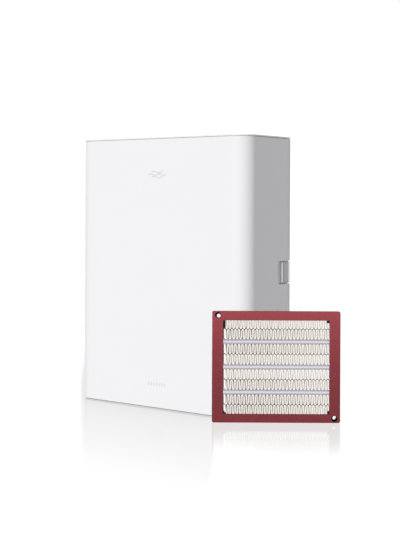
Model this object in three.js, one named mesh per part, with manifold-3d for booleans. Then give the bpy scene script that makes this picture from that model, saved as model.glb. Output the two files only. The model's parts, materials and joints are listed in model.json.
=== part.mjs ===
// Supply-air ventilation cabinet with a plug-in electric heater module.
// Units are millimetres. +X is right, -Y faces the room and +Z is up. The finished unit's origin is
// the middle of the cabinet's underside. Its pieces are drawn with the wall as the plane y = 0, and
// the group that holds them is moved forward from there by half the cabinet's depth.

import * as THREE from 'three';
import { mergeVertices } from 'three/addons/utils/BufferGeometryUtils.js';
import Module from 'manifold-3d';

const wasm = await Module();
wasm.setup();

// ---------------------------------------------------------------- Driving dimensions

const CASE = { width: 476, depth: 170, height: 600, corner: 36, wall: 2.5 };
const HALF_WIDTH = CASE.width / 2;
const CAP = { thickness: 2.8, skirtInset: 4, skirtWall: 2, skirtDrop: 9, skirtRear: -12 };
const CAP_LOW = CASE.height - CAP.thickness;
const SHELL = { low: 2.6, high: CAP_LOW - 1, rear: -8.6, fold: 2, flange: 10 };
const BASE = { inset: 4, thickness: 2.2, rear: -0.5 };
const BACK = { low: 3.4, high: CAP_LOW - 0.8, sheet: 2, rim: 8 };
const REST_GAP = 0.3;
const INNER_REAR = -5.2;
// Cutting bodies run past what they cut by OVER, or by FAR where the way is open; joined bodies sink by SINK.
const OVER = 1;
const FAR = 20;
const SINK = 0.5;

const MAT = { halfWidth: 190, low: 320, high: 585, corner: 12, thickness: 3, gap: 2.3 };
const OUTLET = { rows: 8, slotLength: 168, slotWidth: 5, front: -122, pitch: 11, bridge: 14 };

const LATCH = { front: -46, low: 279, high: 329, rear: -0.6, corner: 8, reach: 14, gap: 0.7, travel: 3 };
const LATCH_HEIGHT = (LATCH.low + LATCH.high) / 2;
const LATCH_INNER = HALF_WIDTH - LATCH.reach;
const SCOOP = { out: 1.5, y: -31, z: 303, radii: [7, 9.4, 20] };
const THUMB_PAD = { front: -19, margin: 4, depth: 0.8 };
const SPRING = { y: -24, radius: 4, wire: 0.5, turns: 4, length: 9.6, well: 5.5, wellDepth: 7, peg: 2.6 };
const LATCH_SEAT = { clear: 4.5, sheet: 2.5, margin: 2, front: -45, back: -2.3, foot: 10, pegLength: 9 };

const DUCT = { z: 150, bore: 63, wall: 2, hole: 66, flange: 80, length: 62 };
const GLAND = { x: 218, z: 60, hole: 9.4, barrel: 9, flange: 12, bore: 4.2, front: -16, nut: -5 };
const CABLE = { radius: 3.2, front: -80, start: -17, entry: 348 };
const BRACKET = { halfWidth: 155, low: 522, high: 572, sheet: 2, pocketMargin: 8, pocketDepth: 5, rear: -0.4 };
const BRACKET_SLOT = { across: [-120, -45, 45, 120], z: 540, halfLength: 8, halfHeight: 3 };

const FILTER_BOX = { halfWidth: 200, low: 5.8, high: 302, front: -146, wall: 2 };
const FILTER = { halfWidth: 195, low: 10, high: 297, frame: 8 };
const PRE_FILTER = { front: -94, back: -84, bar: 3, rows: [-91, -88], columns: [-90, -87] };
const PLEATS = { frameFront: -130, frameBack: -95, front: -127, back: -98, sheet: 3, count: 26 };
const CARBON = { frameFront: -142, frameBack: -131, front: -139, back: -134, columns: 16, width: 8 };
const FILTER_LEDGE = { front: -83, back: -81, side: 14, below: 18, above: 16 };
const GATE = { half: 68, low: 77, high: 222, front: -68, back: -64.5, corner: 3 };
const RAIL = { front: -71, back: -60, low: 72, clear: 0.5, lip: 1.5, lipHigh: 85 };
const GEAR = { module: 1.5, teeth: 16, pressure: THREE.MathUtils.degToRad(20), x: 65, play: 0.25 };
const PINION = { boss: 6, bossLength: 4, shaft: 2.4, shaftEnd: -52 };
const SHUTTER_MOTOR = {
  front: -57, back: -36, radius: 14, bore: 2.8, boreEnd: -50, ear: 17.5, earHalf: 4, post: 3,
};
const PITCH_RADIUS = (GEAR.module * GEAR.teeth) / 2;
const RACK_PITCH_LINE = 228;
const GEAR_Z = RACK_PITCH_LINE + PITCH_RADIUS;

const SHELF = { halfWidth: 212, low: 302.3, thickness: 2, front: -117.6 };
const SEAT = { front: -121, back: -118, low: 304.6, high: 586, z: 445, openWidth: 225, openHeight: 197 };
const SEAT_HOLES = { radius: 2.6, places: [[-121, 552.5], [121, 338]] };
const CHEEK = { sheet: 2, window: 14 };
const SOCKET = { xMin: 112, xMax: 135, low: 387, high: 433, back: -104, wall: 2 };
const FAN = { x: -36, z: 450, back: -20, front: -107, wall: 2, tongue: 97, outlet: 142, top: 584 };
const IMPELLER = { outer: 88, inner: 71, back: -57, front: -104, blades: 24, hub: 3, ring: 3 };
const FAN_FOOT = { halfWidth: 14, inset: 4, high: 322.5 };
const FAN_INLET = { radius: 62, lip: 3, sheet: 3, reach: 9 };
const FAN_MOTOR = {
  front: -54, nose: 30, radius: 36, shoulder: 6, flange: 42, flangeSheet: 3, bore: 4.3, boreEnd: -42,
};
const BLADE = { lean: 0.16, sheet: 0.025 };
const SHAFT = { boss: 12, bossLength: 8, radius: 4, length: 11 };
const BOARD = { x: 153, thickness: 1.6, rear: -18, front: -108, low: 326, high: 566 };
const BOARD_TRAY = { back: 8, face: 5.5, rim: 4, margin: 8, post: 3, postInset: 6 };

const MODULE = { width: 266, height: 231, depth: 21.8, faceSheet: 1.5, lip: 10, corner: 4 };
const FACE_OPENING = { halfWidth: 110.6, low: 18.4, high: 212 };
const CARRIER = { halfWidth: 131.2, low: 1.8, high: 229.2, front: 1.8, skin: 0.8, coreHalf: 113 };
const CORE = { left: -108, right: 112, front: 3, back: 20.4, low: 15.75, band: 42, bar: 10.3, pitch: 7.5 };
const FIN = { separator: 0.5, sheet: 2.6 };
const TUBE = { corner: 2.4, wall: 2, skin: 2.6, reach: 2, stripInset: 6, stripHalf: 2.2 };
const TERMINALS = {
  xMin: 114.5, xMax: 130, low: 60, high: 99, depth: 11, pins: [69.5, 79.5, 89.5], pinHalf: 2.6,
};
const CUTOUT = { xMin: -112, xMax: -97, half: 4.6, sheet: 2, radius: 4.4, depth: 8 };
const FACE_HOLES = { radius: 6.2, places: [[-121, 223], [121, 8.5]] };
const CARRIER_HOLES = { radius: 4, places: [[-119.4, 221.4], [121.2, 10.6]] };
// The module stands beside the cabinet's front right corner, on the same floor and turned to the right.
const MODULE_STAND = { turn: THREE.MathUtils.degToRad(37.83), sideways: 65.7, forward: 16.9 };

// ---------------------------------------------------------------- Solids, cuts and joins

function solidOf(geometry) {
  const bare = geometry.clone();
  bare.deleteAttribute('normal');
  bare.deleteAttribute('uv');
  const merged = mergeVertices(bare, 1e-4);
  const corners = merged.index.array;
  const triangles = [];
  for (let i = 0; i < corners.length; i += 3) {
    const [a, b, c] = [corners[i], corners[i + 1], corners[i + 2]];
    if (a !== b && b !== c && c !== a) triangles.push(a, b, c);
  }
  return new wasm.Manifold(new wasm.Mesh({
    numProp: 3,
    vertProperties: Float32Array.from(merged.attributes.position.array),
    triVerts: Uint32Array.from(triangles),
  }));
}

function geometryOf(solid) {
  const mesh = solid.getMesh();
  const geometry = new THREE.BufferGeometry();
  geometry.setAttribute('position', new THREE.BufferAttribute(mesh.vertProperties, 3));
  geometry.setIndex(new THREE.BufferAttribute(mesh.triVerts, 1));
  geometry.computeVertexNormals();
  return geometry;
}

function join(...pieces) {
  return geometryOf(pieces.map(solidOf).reduce((sum, piece) => sum.add(piece)));
}

function cut(piece, ...tools) {
  return geometryOf(tools.map(solidOf).reduce((rest, tool) => rest.subtract(tool), solidOf(piece)));
}

// ---------------------------------------------------------------- Outlines and simple bodies

function polygon(points) {
  return new THREE.Shape(points.map(([x, y]) => new THREE.Vector2(x, y)));
}

function rectangle(xMin, xMax, yMin, yMax, radius = 0) {
  if (radius === 0) return polygon([[xMin, yMin], [xMax, yMin], [xMax, yMax], [xMin, yMax]]);
  const shape = new THREE.Shape();
  shape.absarc(xMax - radius, yMin + radius, radius, -Math.PI / 2, 0, false);
  shape.absarc(xMax - radius, yMax - radius, radius, 0, Math.PI / 2, false);
  shape.absarc(xMin + radius, yMax - radius, radius, Math.PI / 2, Math.PI, false);
  shape.absarc(xMin + radius, yMin + radius, radius, Math.PI, 1.5 * Math.PI, false);
  return shape;
}

// An outline pushed along an axis. Its two coordinates are y,z along x; x,z along y; x,y along z.
function extrude(shape, axis, low, high, curveSegments = 4) {
  const depth = high - low;
  const geometry = new THREE.ExtrudeGeometry(shape, { depth, bevelEnabled: false, curveSegments });
  const [x, y, z] = [new THREE.Vector3(1, 0, 0), new THREE.Vector3(0, 1, 0), new THREE.Vector3(0, 0, 1)];
  const frame = new THREE.Matrix4();
  if (axis === 'x') return geometry.applyMatrix4(frame.makeBasis(y, z, x)).translate(low, 0, 0);
  if (axis === 'y') {
    return geometry.applyMatrix4(frame.makeBasis(x, z, y.clone().negate())).translate(0, high, 0);
  }
  return geometry.translate(0, 0, low);
}

function block(xMin, xMax, yMin, yMax, zMin, zMax) {
  const geometry = new THREE.BoxGeometry(xMax - xMin, yMax - yMin, zMax - zMin);
  return geometry.translate((xMin + xMax) / 2, (yMin + yMax) / 2, (zMin + zMax) / 2);
}

// A block given for the right-hand side, moved to the left-hand side when side is -1.
function sideBlock(side, xMin, xMax, yMin, yMax, zMin, zMax) {
  const [a, b] = side > 0 ? [xMin, xMax] : [-xMax, -xMin];
  return block(a, b, yMin, yMax, zMin, zMax);
}

function rodAlongY(x, z, radius, yMin, yMax, sides = 24) {
  const geometry = new THREE.CylinderGeometry(radius, radius, yMax - yMin, sides);
  return geometry.translate(x, (yMin + yMax) / 2, z);
}

function rodAlongX(y, z, radius, xMin, xMax, sides = 12) {
  const geometry = new THREE.CylinderGeometry(radius, radius, xMax - xMin, sides).rotateZ(Math.PI / 2);
  return geometry.translate((xMin + xMax) / 2, y, z);
}

// A turned body about a line along y: profile points are [radius, y], going up on the outside.
function turnedAlongY(x, z, profile, sides = 32) {
  const points = profile.map(([radius, y]) => new THREE.Vector2(radius, y));
  return new THREE.LatheGeometry(points, sides).translate(x, 0, z);
}

function ringAlongY(x, z, inner, outer, yMin, yMax, sides = 32) {
  const profile = [[outer, yMin], [outer, yMax], [inner, yMax], [inner, yMin], [outer, yMin]];
  return turnedAlongY(x, z, profile, sides);
}

// Rows of bars filling an upright rectangular frame, seen from the front.
function barRows(count, halfWidth, low, high, thickness, yMin, yMax) {
  const bars = [];
  for (let i = 1; i <= count; i += 1) {
    const z = low + ((high - low) * i) / (count + 1);
    bars.push(block(-halfWidth, halfWidth, yMin, yMax, z - thickness / 2, z + thickness / 2));
  }
  return bars;
}

function barColumns(count, halfWidth, low, high, thickness, yMin, yMax) {
  const bars = [];
  for (let i = 1; i <= count; i += 1) {
    const x = -halfWidth + (2 * halfWidth * i) / (count + 1);
    bars.push(block(x - thickness / 2, x + thickness / 2, yMin, yMax, low, high));
  }
  return bars;
}

// ---------------------------------------------------------------- Casing

const CASE_ARC = 6;

// The cabinet's plan: flat front, rounded front corners, flat sides and a square rear.
function casingPlan(inset, rear) {
  const half = HALF_WIDTH - inset;
  const front = -CASE.depth + inset;
  const radius = CASE.corner - inset;
  const shape = new THREE.Shape();
  shape.moveTo(half, rear);
  shape.lineTo(-half, rear);
  shape.absarc(-half + radius, front + radius, radius, Math.PI, 1.5 * Math.PI, false);
  shape.absarc(half - radius, front + radius, radius, -Math.PI / 2, 0, false);
  return shape;
}

function latchNotch(side) {
  const outline = rectangle(LATCH.front, FAR, LATCH.low, LATCH.high, LATCH.corner);
  const [xMin, xMax] = [LATCH_INNER - LATCH.travel - LATCH.gap, HALF_WIDTH + OVER];
  return side > 0 ? extrude(outline, 'x', xMin, xMax) : extrude(outline, 'x', -xMax, -xMin);
}

function frontShell() {
  const outer = extrude(casingPlan(0, SHELL.rear), 'z', SHELL.low, SHELL.high, CASE_ARC);
  const foldTop = SHELL.low + SHELL.fold;
  const hollow = extrude(casingPlan(CASE.wall, FAR), 'z', foldTop, SHELL.high + OVER, CASE_ARC);
  const underside = extrude(casingPlan(SHELL.flange, FAR), 'z', SHELL.low - OVER, foldTop + OVER, CASE_ARC);
  return cut(outer, hollow, underside, latchNotch(1), latchNotch(-1));
}

function acousticMat() {
  const { halfWidth, low, high, corner, thickness, gap } = MAT;
  const front = -CASE.depth + CASE.wall + gap;
  return extrude(rectangle(-halfWidth, halfWidth, low, high, corner), 'y', front, front + thickness, 3);
}

function topCap() {
  const plate = extrude(casingPlan(0, 0), 'z', CAP_LOW, CASE.height, CASE_ARC);
  const skirtLow = CAP_LOW - CAP.skirtDrop;
  const skirt = cut(
    extrude(casingPlan(CAP.skirtInset, CAP.skirtRear), 'z', skirtLow, CAP_LOW + SINK, CASE_ARC),
    extrude(casingPlan(CAP.skirtInset + CAP.skirtWall, FAR), 'z', skirtLow - OVER, CAP_LOW, CASE_ARC),
  );
  const slots = [];
  for (let row = 0; row < OUTLET.rows; row += 1) {
    for (const side of [-1, 1]) {
      const middle = (side * (OUTLET.slotLength + OUTLET.bridge)) / 2;
      const y = OUTLET.front + row * OUTLET.pitch;
      const [xMin, xMax] = [middle - OUTLET.slotLength / 2, middle + OUTLET.slotLength / 2];
      slots.push(block(xMin, xMax, y, y + OUTLET.slotWidth, CAP_LOW - OVER, CASE.height + OVER));
    }
  }
  return cut(join(plate, skirt), ...slots);
}

function basePanel() {
  return extrude(casingPlan(BASE.inset, BASE.rear), 'z', 0, BASE.thickness, CASE_ARC);
}

function backPlate() {
  const { sheet, rim, low, high } = BACK;
  const pan = cut(
    block(-HALF_WIDTH, HALF_WIDTH, -rim, 0, low, high),
    block(-HALF_WIDTH + sheet, HALF_WIDTH - sheet, -rim - OVER, -sheet, low + sheet, high - sheet),
  );
  const margin = BRACKET.pocketMargin;
  const [pocketHalf, pocketLow, pocketHigh] = [
    BRACKET.halfWidth + margin, BRACKET.low - margin, BRACKET.high + margin,
  ];
  const pocketFront = -BRACKET.pocketDepth - sheet;
  const boss = block(
    -pocketHalf - sheet, pocketHalf + sheet, pocketFront, -SINK, pocketLow - sheet, pocketHigh + sheet,
  );
  return cut(
    join(pan, boss),
    block(-pocketHalf, pocketHalf, -BRACKET.pocketDepth, OVER, pocketLow, pocketHigh),
    rodAlongY(0, DUCT.z, DUCT.hole, -rim - OVER, OVER, 40),
    rodAlongY(GLAND.x, GLAND.z, GLAND.hole, -rim - OVER, OVER, 20),
    latchNotch(1),
    latchNotch(-1),
  );
}

function wallBracket() {
  const { halfWidth, low, high, sheet, rear } = BRACKET;
  const { across, z, halfLength, halfHeight } = BRACKET_SLOT;
  const lap = 2 * sheet;
  const plate = extrude(rectangle(-halfWidth, halfWidth, low, high, lap), 'y', rear - sheet, rear, 2);
  const hookHalf = halfWidth - lap;
  const hook = block(-hookHalf, hookHalf, rear - lap, rear - sheet / 2, high - lap, high + lap);
  const slots = across.map((x) => block(
    x - halfLength, x + halfLength, rear - lap - OVER, rear + OVER, z - halfHeight, z + halfHeight,
  ));
  return cut(join(plate, hook), ...slots);
}

// ---------------------------------------------------------------- Latches

function latchButton(side) {
  const { front, low, high, corner, rear, gap } = LATCH;
  const outline = rectangle(front + gap, FAR, low + gap, high - gap, corner - gap);
  const body = extrude(outline, 'x', LATCH_INNER, HALF_WIDTH);
  const scoop = new THREE.SphereGeometry(1, 16, 10).scale(...SCOOP.radii);
  const pad = THUMB_PAD;
  const right = cut(
    body,
    block(LATCH_INNER - OVER, HALF_WIDTH + OVER, rear, FAR + OVER, low, high),
    block(HALF_WIDTH - pad.depth, HALF_WIDTH + OVER, pad.front, OVER, low + pad.margin, high - pad.margin),
    scoop.translate(HALF_WIDTH + SCOOP.out, SCOOP.y, SCOOP.z),
    rodAlongX(SPRING.y, LATCH_HEIGHT, SPRING.well, LATCH_INNER - OVER, LATCH_INNER + SPRING.wellDepth),
  );
  return side > 0 ? right : mirrored(right);
}

// Mirroring in the plane x = 0 turns the faces inside out, so each triangle's order is swapped back.
function mirrored(geometry) {
  const twin = geometry.clone().scale(-1, 1, 1);
  const corners = twin.index.array;
  for (let i = 0; i < corners.length; i += 3) {
    [corners[i], corners[i + 1]] = [corners[i + 1], corners[i]];
  }
  twin.computeVertexNormals();
  return twin;
}

function spanOnSide(side, low, high) {
  return side > 0 ? [low, high] : [-high, -low];
}

const SEAT_TOP = LATCH_INNER - LATCH.travel - LATCH_SEAT.clear;

function latchHousing(side) {
  const { sheet, margin, front, back, foot, pegLength } = LATCH_SEAT;
  const [low, high] = [LATCH.low + margin, LATCH.high - margin];
  return join(
    sideBlock(side, SEAT_TOP - sheet, SEAT_TOP, front, back - SINK, low, high),
    sideBlock(side, SEAT_TOP - foot, SEAT_TOP, back - sheet, back, low, high),
    rodAlongX(SPRING.y, LATCH_HEIGHT, SPRING.peg, ...spanOnSide(side, SEAT_TOP - SINK, SEAT_TOP + pegLength)),
  );
}

function latchSpring(side) {
  const start = SEAT_TOP + SPRING.wire + REST_GAP;
  const steps = SPRING.turns * 8;
  const points = [];
  for (let i = 0; i <= steps; i += 1) {
    const angle = (i / steps) * SPRING.turns * 2 * Math.PI;
    const x = start + (i / steps) * SPRING.length;
    const y = SPRING.y + SPRING.radius * Math.cos(angle);
    points.push(new THREE.Vector3(side * x, y, LATCH_HEIGHT + SPRING.radius * Math.sin(angle)));
  }
  const wire = new THREE.Shape();
  wire.absarc(0, 0, SPRING.wire, 0, 2 * Math.PI, false);
  const extrudePath = new THREE.CatmullRomCurve3(points);
  return new THREE.ExtrudeGeometry(wire, { extrudePath, steps, bevelEnabled: false, curveSegments: 2 });
}

// ---------------------------------------------------------------- Air inlet, shutter and filters

function inletCollar() {
  const { bore, wall, flange, length } = DUCT;
  const outer = bore + wall;
  const rear = -SINK;
  const flangeBack = INNER_REAR - FILTER_BOX.wall - REST_GAP;
  const flangeFront = flangeBack - wall;
  return turnedAlongY(0, DUCT.z, [
    [outer, -length], [outer, flangeFront], [flange, flangeFront], [flange, flangeBack],
    [outer, flangeBack], [outer, rear], [bore, rear], [bore, -length], [outer, -length],
  ], 28);
}

function gateSeal() {
  const [inner, outer] = [DUCT.bore - DUCT.wall, DUCT.bore + 2 * DUCT.wall];
  return ringAlongY(0, DUCT.z, inner, outer, GATE.back + REST_GAP, -DUCT.length - REST_GAP, 28);
}

function cableGland() {
  const { x, z, barrel, flange, bore, front, nut } = GLAND;
  const [seat, rear] = [-BACK.sheet - REST_GAP, BRACKET.rear];
  return turnedAlongY(x, z, [
    [barrel, front], [barrel, nut], [flange, nut], [flange, seat], [barrel, seat], [barrel, rear],
    [bore, rear], [bore, front], [barrel, front],
  ], 20);
}

// The cable rises along the inside of the right-hand wall and turns in over the filter box.
function mainsCable() {
  const { radius, front, start, entry } = CABLE;
  const x = GLAND.x;
  const extrudePath = new THREE.CatmullRomCurve3([
    new THREE.Vector3(x, start, GLAND.z),
    new THREE.Vector3(x, start - 28, GLAND.z + 4),
    new THREE.Vector3(x, front + 4, GLAND.z + 40),
    new THREE.Vector3(x, front, GLAND.z + 100),
    new THREE.Vector3(x, front, entry - 48),
    new THREE.Vector3(x - 3, front, entry - 16),
    new THREE.Vector3(x - 18, front, entry - 1),
    new THREE.Vector3(x - 34, front, entry),
  ]);
  const round = new THREE.Shape();
  round.absarc(0, 0, radius, 0, 2 * Math.PI, false);
  return new THREE.ExtrudeGeometry(round, { extrudePath, steps: 20, bevelEnabled: false, curveSegments: 3 });
}

function filterHousing() {
  const { halfWidth, low, high, front, wall } = FILTER_BOX;
  const inner = halfWidth - wall;
  const wide = inner + SINK;
  const tray = cut(
    block(-halfWidth, halfWidth, front, INNER_REAR, low, high),
    block(-inner, inner, front - OVER, INNER_REAR - wall, low + wall, high - wall),
    rodAlongY(0, DUCT.z, DUCT.hole, INNER_REAR - wall - OVER, INNER_REAR + OVER, 40),
  );
  const { side, below, above, ...step } = FILTER_LEDGE;
  const ledge = cut(
    block(-wide, wide, step.front, step.back, low + wall - SINK, high - wall + SINK),
    block(side - inner, inner - side, step.front - OVER, step.back + OVER, low + below, high - above),
  );
  const rail = block(-wide, wide, RAIL.front, RAIL.back, RAIL.low, GATE.low - RAIL.clear);
  const lip = block(-wide, wide, RAIL.front, RAIL.front + RAIL.lip, RAIL.low, RAIL.lipHigh);
  return join(tray, ledge, rail, lip);
}

function rackTeeth() {
  const pitch = Math.PI * GEAR.module;
  const slope = Math.tan(GEAR.pressure);
  const halfAtPitch = pitch / 4 - GEAR.play / 2;
  const tip = RACK_PITCH_LINE + GEAR.module;
  const root = RACK_PITCH_LINE - 1.25 * GEAR.module;
  const halfAt = (z) => halfAtPitch + (RACK_PITCH_LINE - z) * slope;
  const points = [[-GATE.half, root]];
  const first = Math.ceil((GATE.corner - GATE.half - GEAR.x) / pitch);
  for (let tooth = first; tooth <= 0; tooth += 1) {
    const x = GEAR.x + tooth * pitch;
    points.push([x - halfAt(root), root], [x - halfAt(tip), tip]);
    points.push([x + halfAt(tip), tip], [x + halfAt(root), root]);
  }
  points.push([GATE.half, root], [GATE.half, GATE.high - SINK], [-GATE.half, GATE.high - SINK]);
  return extrude(polygon(points.reverse()), 'y', GATE.front, GATE.back);
}

function shutterGate() {
  const { half, low, high, front, back, corner } = GATE;
  const plate = extrude(rectangle(-half, half, low, high, corner), 'y', front, back, 2);
  return join(plate, rackTeeth());
}

function involute(radius) {
  const base = PITCH_RADIUS * Math.cos(GEAR.pressure);
  const angle = Math.acos(Math.min(1, base / radius));
  return Math.tan(angle) - angle;
}

function gearOutline() {
  const [tip, root] = [PITCH_RADIUS + GEAR.module, PITCH_RADIUS - 1.25 * GEAR.module];
  const halfAtPitch = Math.PI / (2 * GEAR.teeth) - GEAR.play / (2 * PITCH_RADIUS);
  const halfAt = (radius) => halfAtPitch + involute(PITCH_RADIUS) - involute(radius);
  const flank = [root, PITCH_RADIUS, tip];
  const points = [];
  const place = (radius, angle) => {
    points.push([GEAR.x + radius * Math.cos(angle), GEAR_Z + radius * Math.sin(angle)]);
  };
  for (let tooth = 0; tooth < GEAR.teeth; tooth += 1) {
    const middle = -Math.PI / 2 + ((tooth + 0.5) * 2 * Math.PI) / GEAR.teeth;
    flank.forEach((radius) => place(radius, middle - halfAt(radius)));
    [...flank].reverse().forEach((radius) => place(radius, middle + halfAt(radius)));
  }
  return polygon(points);
}

function shutterPinion() {
  const { boss, bossLength, shaft, shaftEnd } = PINION;
  return join(
    extrude(gearOutline(), 'y', GATE.front - OVER, GATE.back + OVER),
    rodAlongY(GEAR.x, GEAR_Z, boss, GATE.back, GATE.back + bossLength, 16),
    rodAlongY(GEAR.x, GEAR_Z, shaft, GATE.back, shaftEnd, 16),
  );
}

function shutterMotor() {
  const { front, back, radius, bore, boreEnd, ear, earHalf, post } = SHUTTER_MOTOR;
  const [low, high, sheet] = [GEAR_Z - earHalf, GEAR_Z + earHalf, 3];
  const plate = block(GEAR.x - ear - earHalf, GEAR.x + ear + earHalf, front, front + sheet, low, high);
  const postEnd = INNER_REAR - FILTER_BOX.wall - REST_GAP;
  const posts = [-1, 1].map((side) => (
    rodAlongY(GEAR.x + side * ear, GEAR_Z, post, front + OVER, postEnd, 12)
  ));
  const can = rodAlongY(GEAR.x, GEAR_Z, radius, front, back, 24);
  return cut(join(can, plate, ...posts), rodAlongY(GEAR.x, GEAR_Z, bore, front - OVER, boreEnd, 16));
}

function filterFrame(yMin, yMax) {
  const { halfWidth, low, high, frame } = FILTER;
  const inner = halfWidth - frame;
  return cut(
    block(-halfWidth, halfWidth, yMin, yMax, low, high),
    block(-inner, inner, yMin - OVER, yMax + OVER, low + frame, high - frame),
  );
}

// Bars reach from frame to frame, and end inside it.
const BAR_HALF = FILTER.halfWidth - FILTER.frame / 2;
const BAR_LOW = FILTER.low + FILTER.frame / 2;
const BAR_HIGH = FILTER.high - FILTER.frame / 2;

function preFilter() {
  const { front, back, bar, rows, columns } = PRE_FILTER;
  return join(
    filterFrame(front, back),
    ...barRows(3, BAR_HALF, FILTER.low, FILTER.high, bar, ...rows),
    ...barColumns(4, BAR_HALF, BAR_LOW, BAR_HIGH, bar, ...columns),
  );
}

function pleatedFilter() {
  const { frameFront, frameBack, front, back, sheet, count } = PLEATS;
  const edge = FILTER.halfWidth - FILTER.frame + SINK;
  const pleatAt = (i) => [-edge + (edge * i) / count, i % 2 ? back : front + sheet];
  const line = Array.from({ length: 2 * count + 1 }, (_, i) => pleatAt(i));
  const outline = [...line.map(([x, y]) => [x, y - sheet]), ...line.reverse()];
  const [low, high] = [FILTER.low + FILTER.frame - SINK, FILTER.high - FILTER.frame + SINK];
  return join(filterFrame(frameFront, frameBack), extrude(polygon(outline), 'z', low, high));
}

function carbonFilter() {
  const { frameFront, frameBack, front, back, columns, width } = CARBON;
  return join(
    filterFrame(frameFront, frameBack),
    ...barColumns(columns, BAR_HALF, BAR_LOW, BAR_HIGH, width, front, back),
  );
}

// ---------------------------------------------------------------- Fan section

function midShelf() {
  const { halfWidth, low, thickness, front } = SHELF;
  return block(-halfWidth, halfWidth, front, INNER_REAR, low, low + thickness);
}

// The partition in front of the fan: the heater's seat, with a cheek at each side back to the rear.
function heaterSeatPanel() {
  const { front, back, low, high, z, openWidth, openHeight } = SEAT;
  const half = SHELF.halfWidth;
  const { sheet, window } = CHEEK;
  const [panelFront, panelBack] = [front - OVER, back + OVER];
  const [openHalf, riseHalf] = [openWidth / 2, openHeight / 2];
  const opening = rectangle(-openHalf, openHalf, z - riseHalf, z + riseHalf, MODULE.corner);
  const cheeks = [-1, 1].map((side) => cut(
    sideBlock(side, half - sheet, half, back - SINK, INNER_REAR, low, high),
    sideBlock(
      side, half - sheet - OVER, half + OVER, back + window, INNER_REAR - window, low + window, high - window,
    ),
  ));
  return cut(
    join(block(-half, half, front, back, low, high), ...cheeks),
    extrude(opening, 'y', panelFront, panelBack, 2),
    block(SOCKET.xMin + 1, SOCKET.xMax - 1, panelFront, back + REST_GAP, SOCKET.low + 1, SOCKET.high - 1),
    ...SEAT_HOLES.places.map(([x, at]) => rodAlongY(x, at, SEAT_HOLES.radius, panelFront, panelBack, 16)),
  );
}

function heaterSocket() {
  const { xMin, xMax, low, high, back, wall } = SOCKET;
  const front = SEAT.back + REST_GAP;
  return cut(
    block(xMin, xMax, front, back, low, high),
    block(xMin + wall, xMax - wall, front - OVER, back - wall, low + wall, high - wall),
  );
}

// The spiral casing's outline, seen from the front, with its outlet upwards on the right.
function scrollOutline(grow) {
  const { x, z, tongue, outlet, top } = FAN;
  const startAngle = Math.PI / 3;
  const growth = Math.log(outlet / tongue) / (2 * Math.PI - startAngle);
  const radiusAt = (angle) => tongue * Math.exp(growth * (angle - startAngle)) + grow;
  const tongueX = x + tongue * Math.cos(startAngle) - grow;
  const first = Math.acos((tongueX - x) / (tongue + grow));
  const steps = 30;
  const points = [];
  for (let i = 0; i <= steps; i += 1) {
    const angle = first + ((2 * Math.PI - first) * i) / steps;
    points.push([x + radiusAt(angle) * Math.cos(angle), z + radiusAt(angle) * Math.sin(angle)]);
  }
  points.push([x + outlet + grow, top], [points[0][0], top]);
  return polygon(points);
}

function fanScroll() {
  const { x, wall, back, front, outlet, top } = FAN;
  const [hollowFront, hollowBack] = [front - OVER, back - wall];
  const { halfWidth, inset, high } = FAN_FOOT;
  const outer = extrude(scrollOutline(wall), 'y', front, back);
  const hollow = extrude(scrollOutline(0), 'y', hollowFront, hollowBack);
  const mouthLeft = x + FAN.tongue / 2 + wall;
  const mouth = block(mouthLeft, x + outlet, hollowFront, hollowBack, top - 2 * wall, top + OVER);
  const foot = block(x - halfWidth, x + halfWidth, front + inset, back - inset, SEAT.low, high);
  return join(cut(outer, hollow, mouth), foot);
}

function fanCover() {
  const { radius, lip, sheet, reach } = FAN_INLET;
  const back = FAN.front - REST_GAP;
  const front = back - sheet;
  const plate = extrude(scrollOutline(FAN.wall), 'y', front, back);
  const bore = rodAlongY(FAN.x, FAN.z, radius, front - OVER, back + OVER, 28);
  const bellmouth = ringAlongY(FAN.x, FAN.z, radius, radius + lip, front, back + reach, 28);
  return join(cut(plate, bore), bellmouth);
}

function fanMotor() {
  const back = FAN.back - FAN.wall - REST_GAP;
  const { front, nose, radius, shoulder, flange, flangeSheet, bore, boreEnd } = FAN_MOTOR;
  const flangeFront = back - flangeSheet;
  return turnedAlongY(FAN.x, FAN.z, [
    [bore, boreEnd], [bore, front], [nose, front], [radius, front + shoulder], [radius, flangeFront],
    [flange, flangeFront], [flange, back], [0, back], [0, boreEnd], [bore, boreEnd],
  ], 24);
}

function impeller() {
  const { outer, inner, back, front, blades, hub, ring } = IMPELLER;
  const { x, z } = FAN;
  const { lean, sheet } = BLADE;
  const pieces = [
    rodAlongY(x, z, outer, back - hub, back, 32),
    ringAlongY(x, z, inner + 2 * ring, outer, front, front + ring),
    rodAlongY(x, z, SHAFT.boss, back - hub - SHAFT.bossLength, back - OVER, 20),
    rodAlongY(x, z, SHAFT.radius, back - OVER, back + SHAFT.length, 16),
  ];
  for (let blade = 0; blade < blades; blade += 1) {
    const angle = (blade * 2 * Math.PI) / blades;
    const at = (radius, offset) => [
      x + radius * Math.cos(angle + offset), z + radius * Math.sin(angle + offset),
    ];
    const line = [[inner, 0], [outer - 1, lean]];
    const outline = [
      ...line.map(([radius, offset]) => at(radius, offset)),
      ...line.map(([radius, offset]) => at(radius, offset + sheet)).reverse(),
    ];
    pieces.push(extrude(polygon(outline), 'y', front + OVER, back - OVER));
  }
  return join(...pieces);
}

// ---------------------------------------------------------------- Controls

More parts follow.
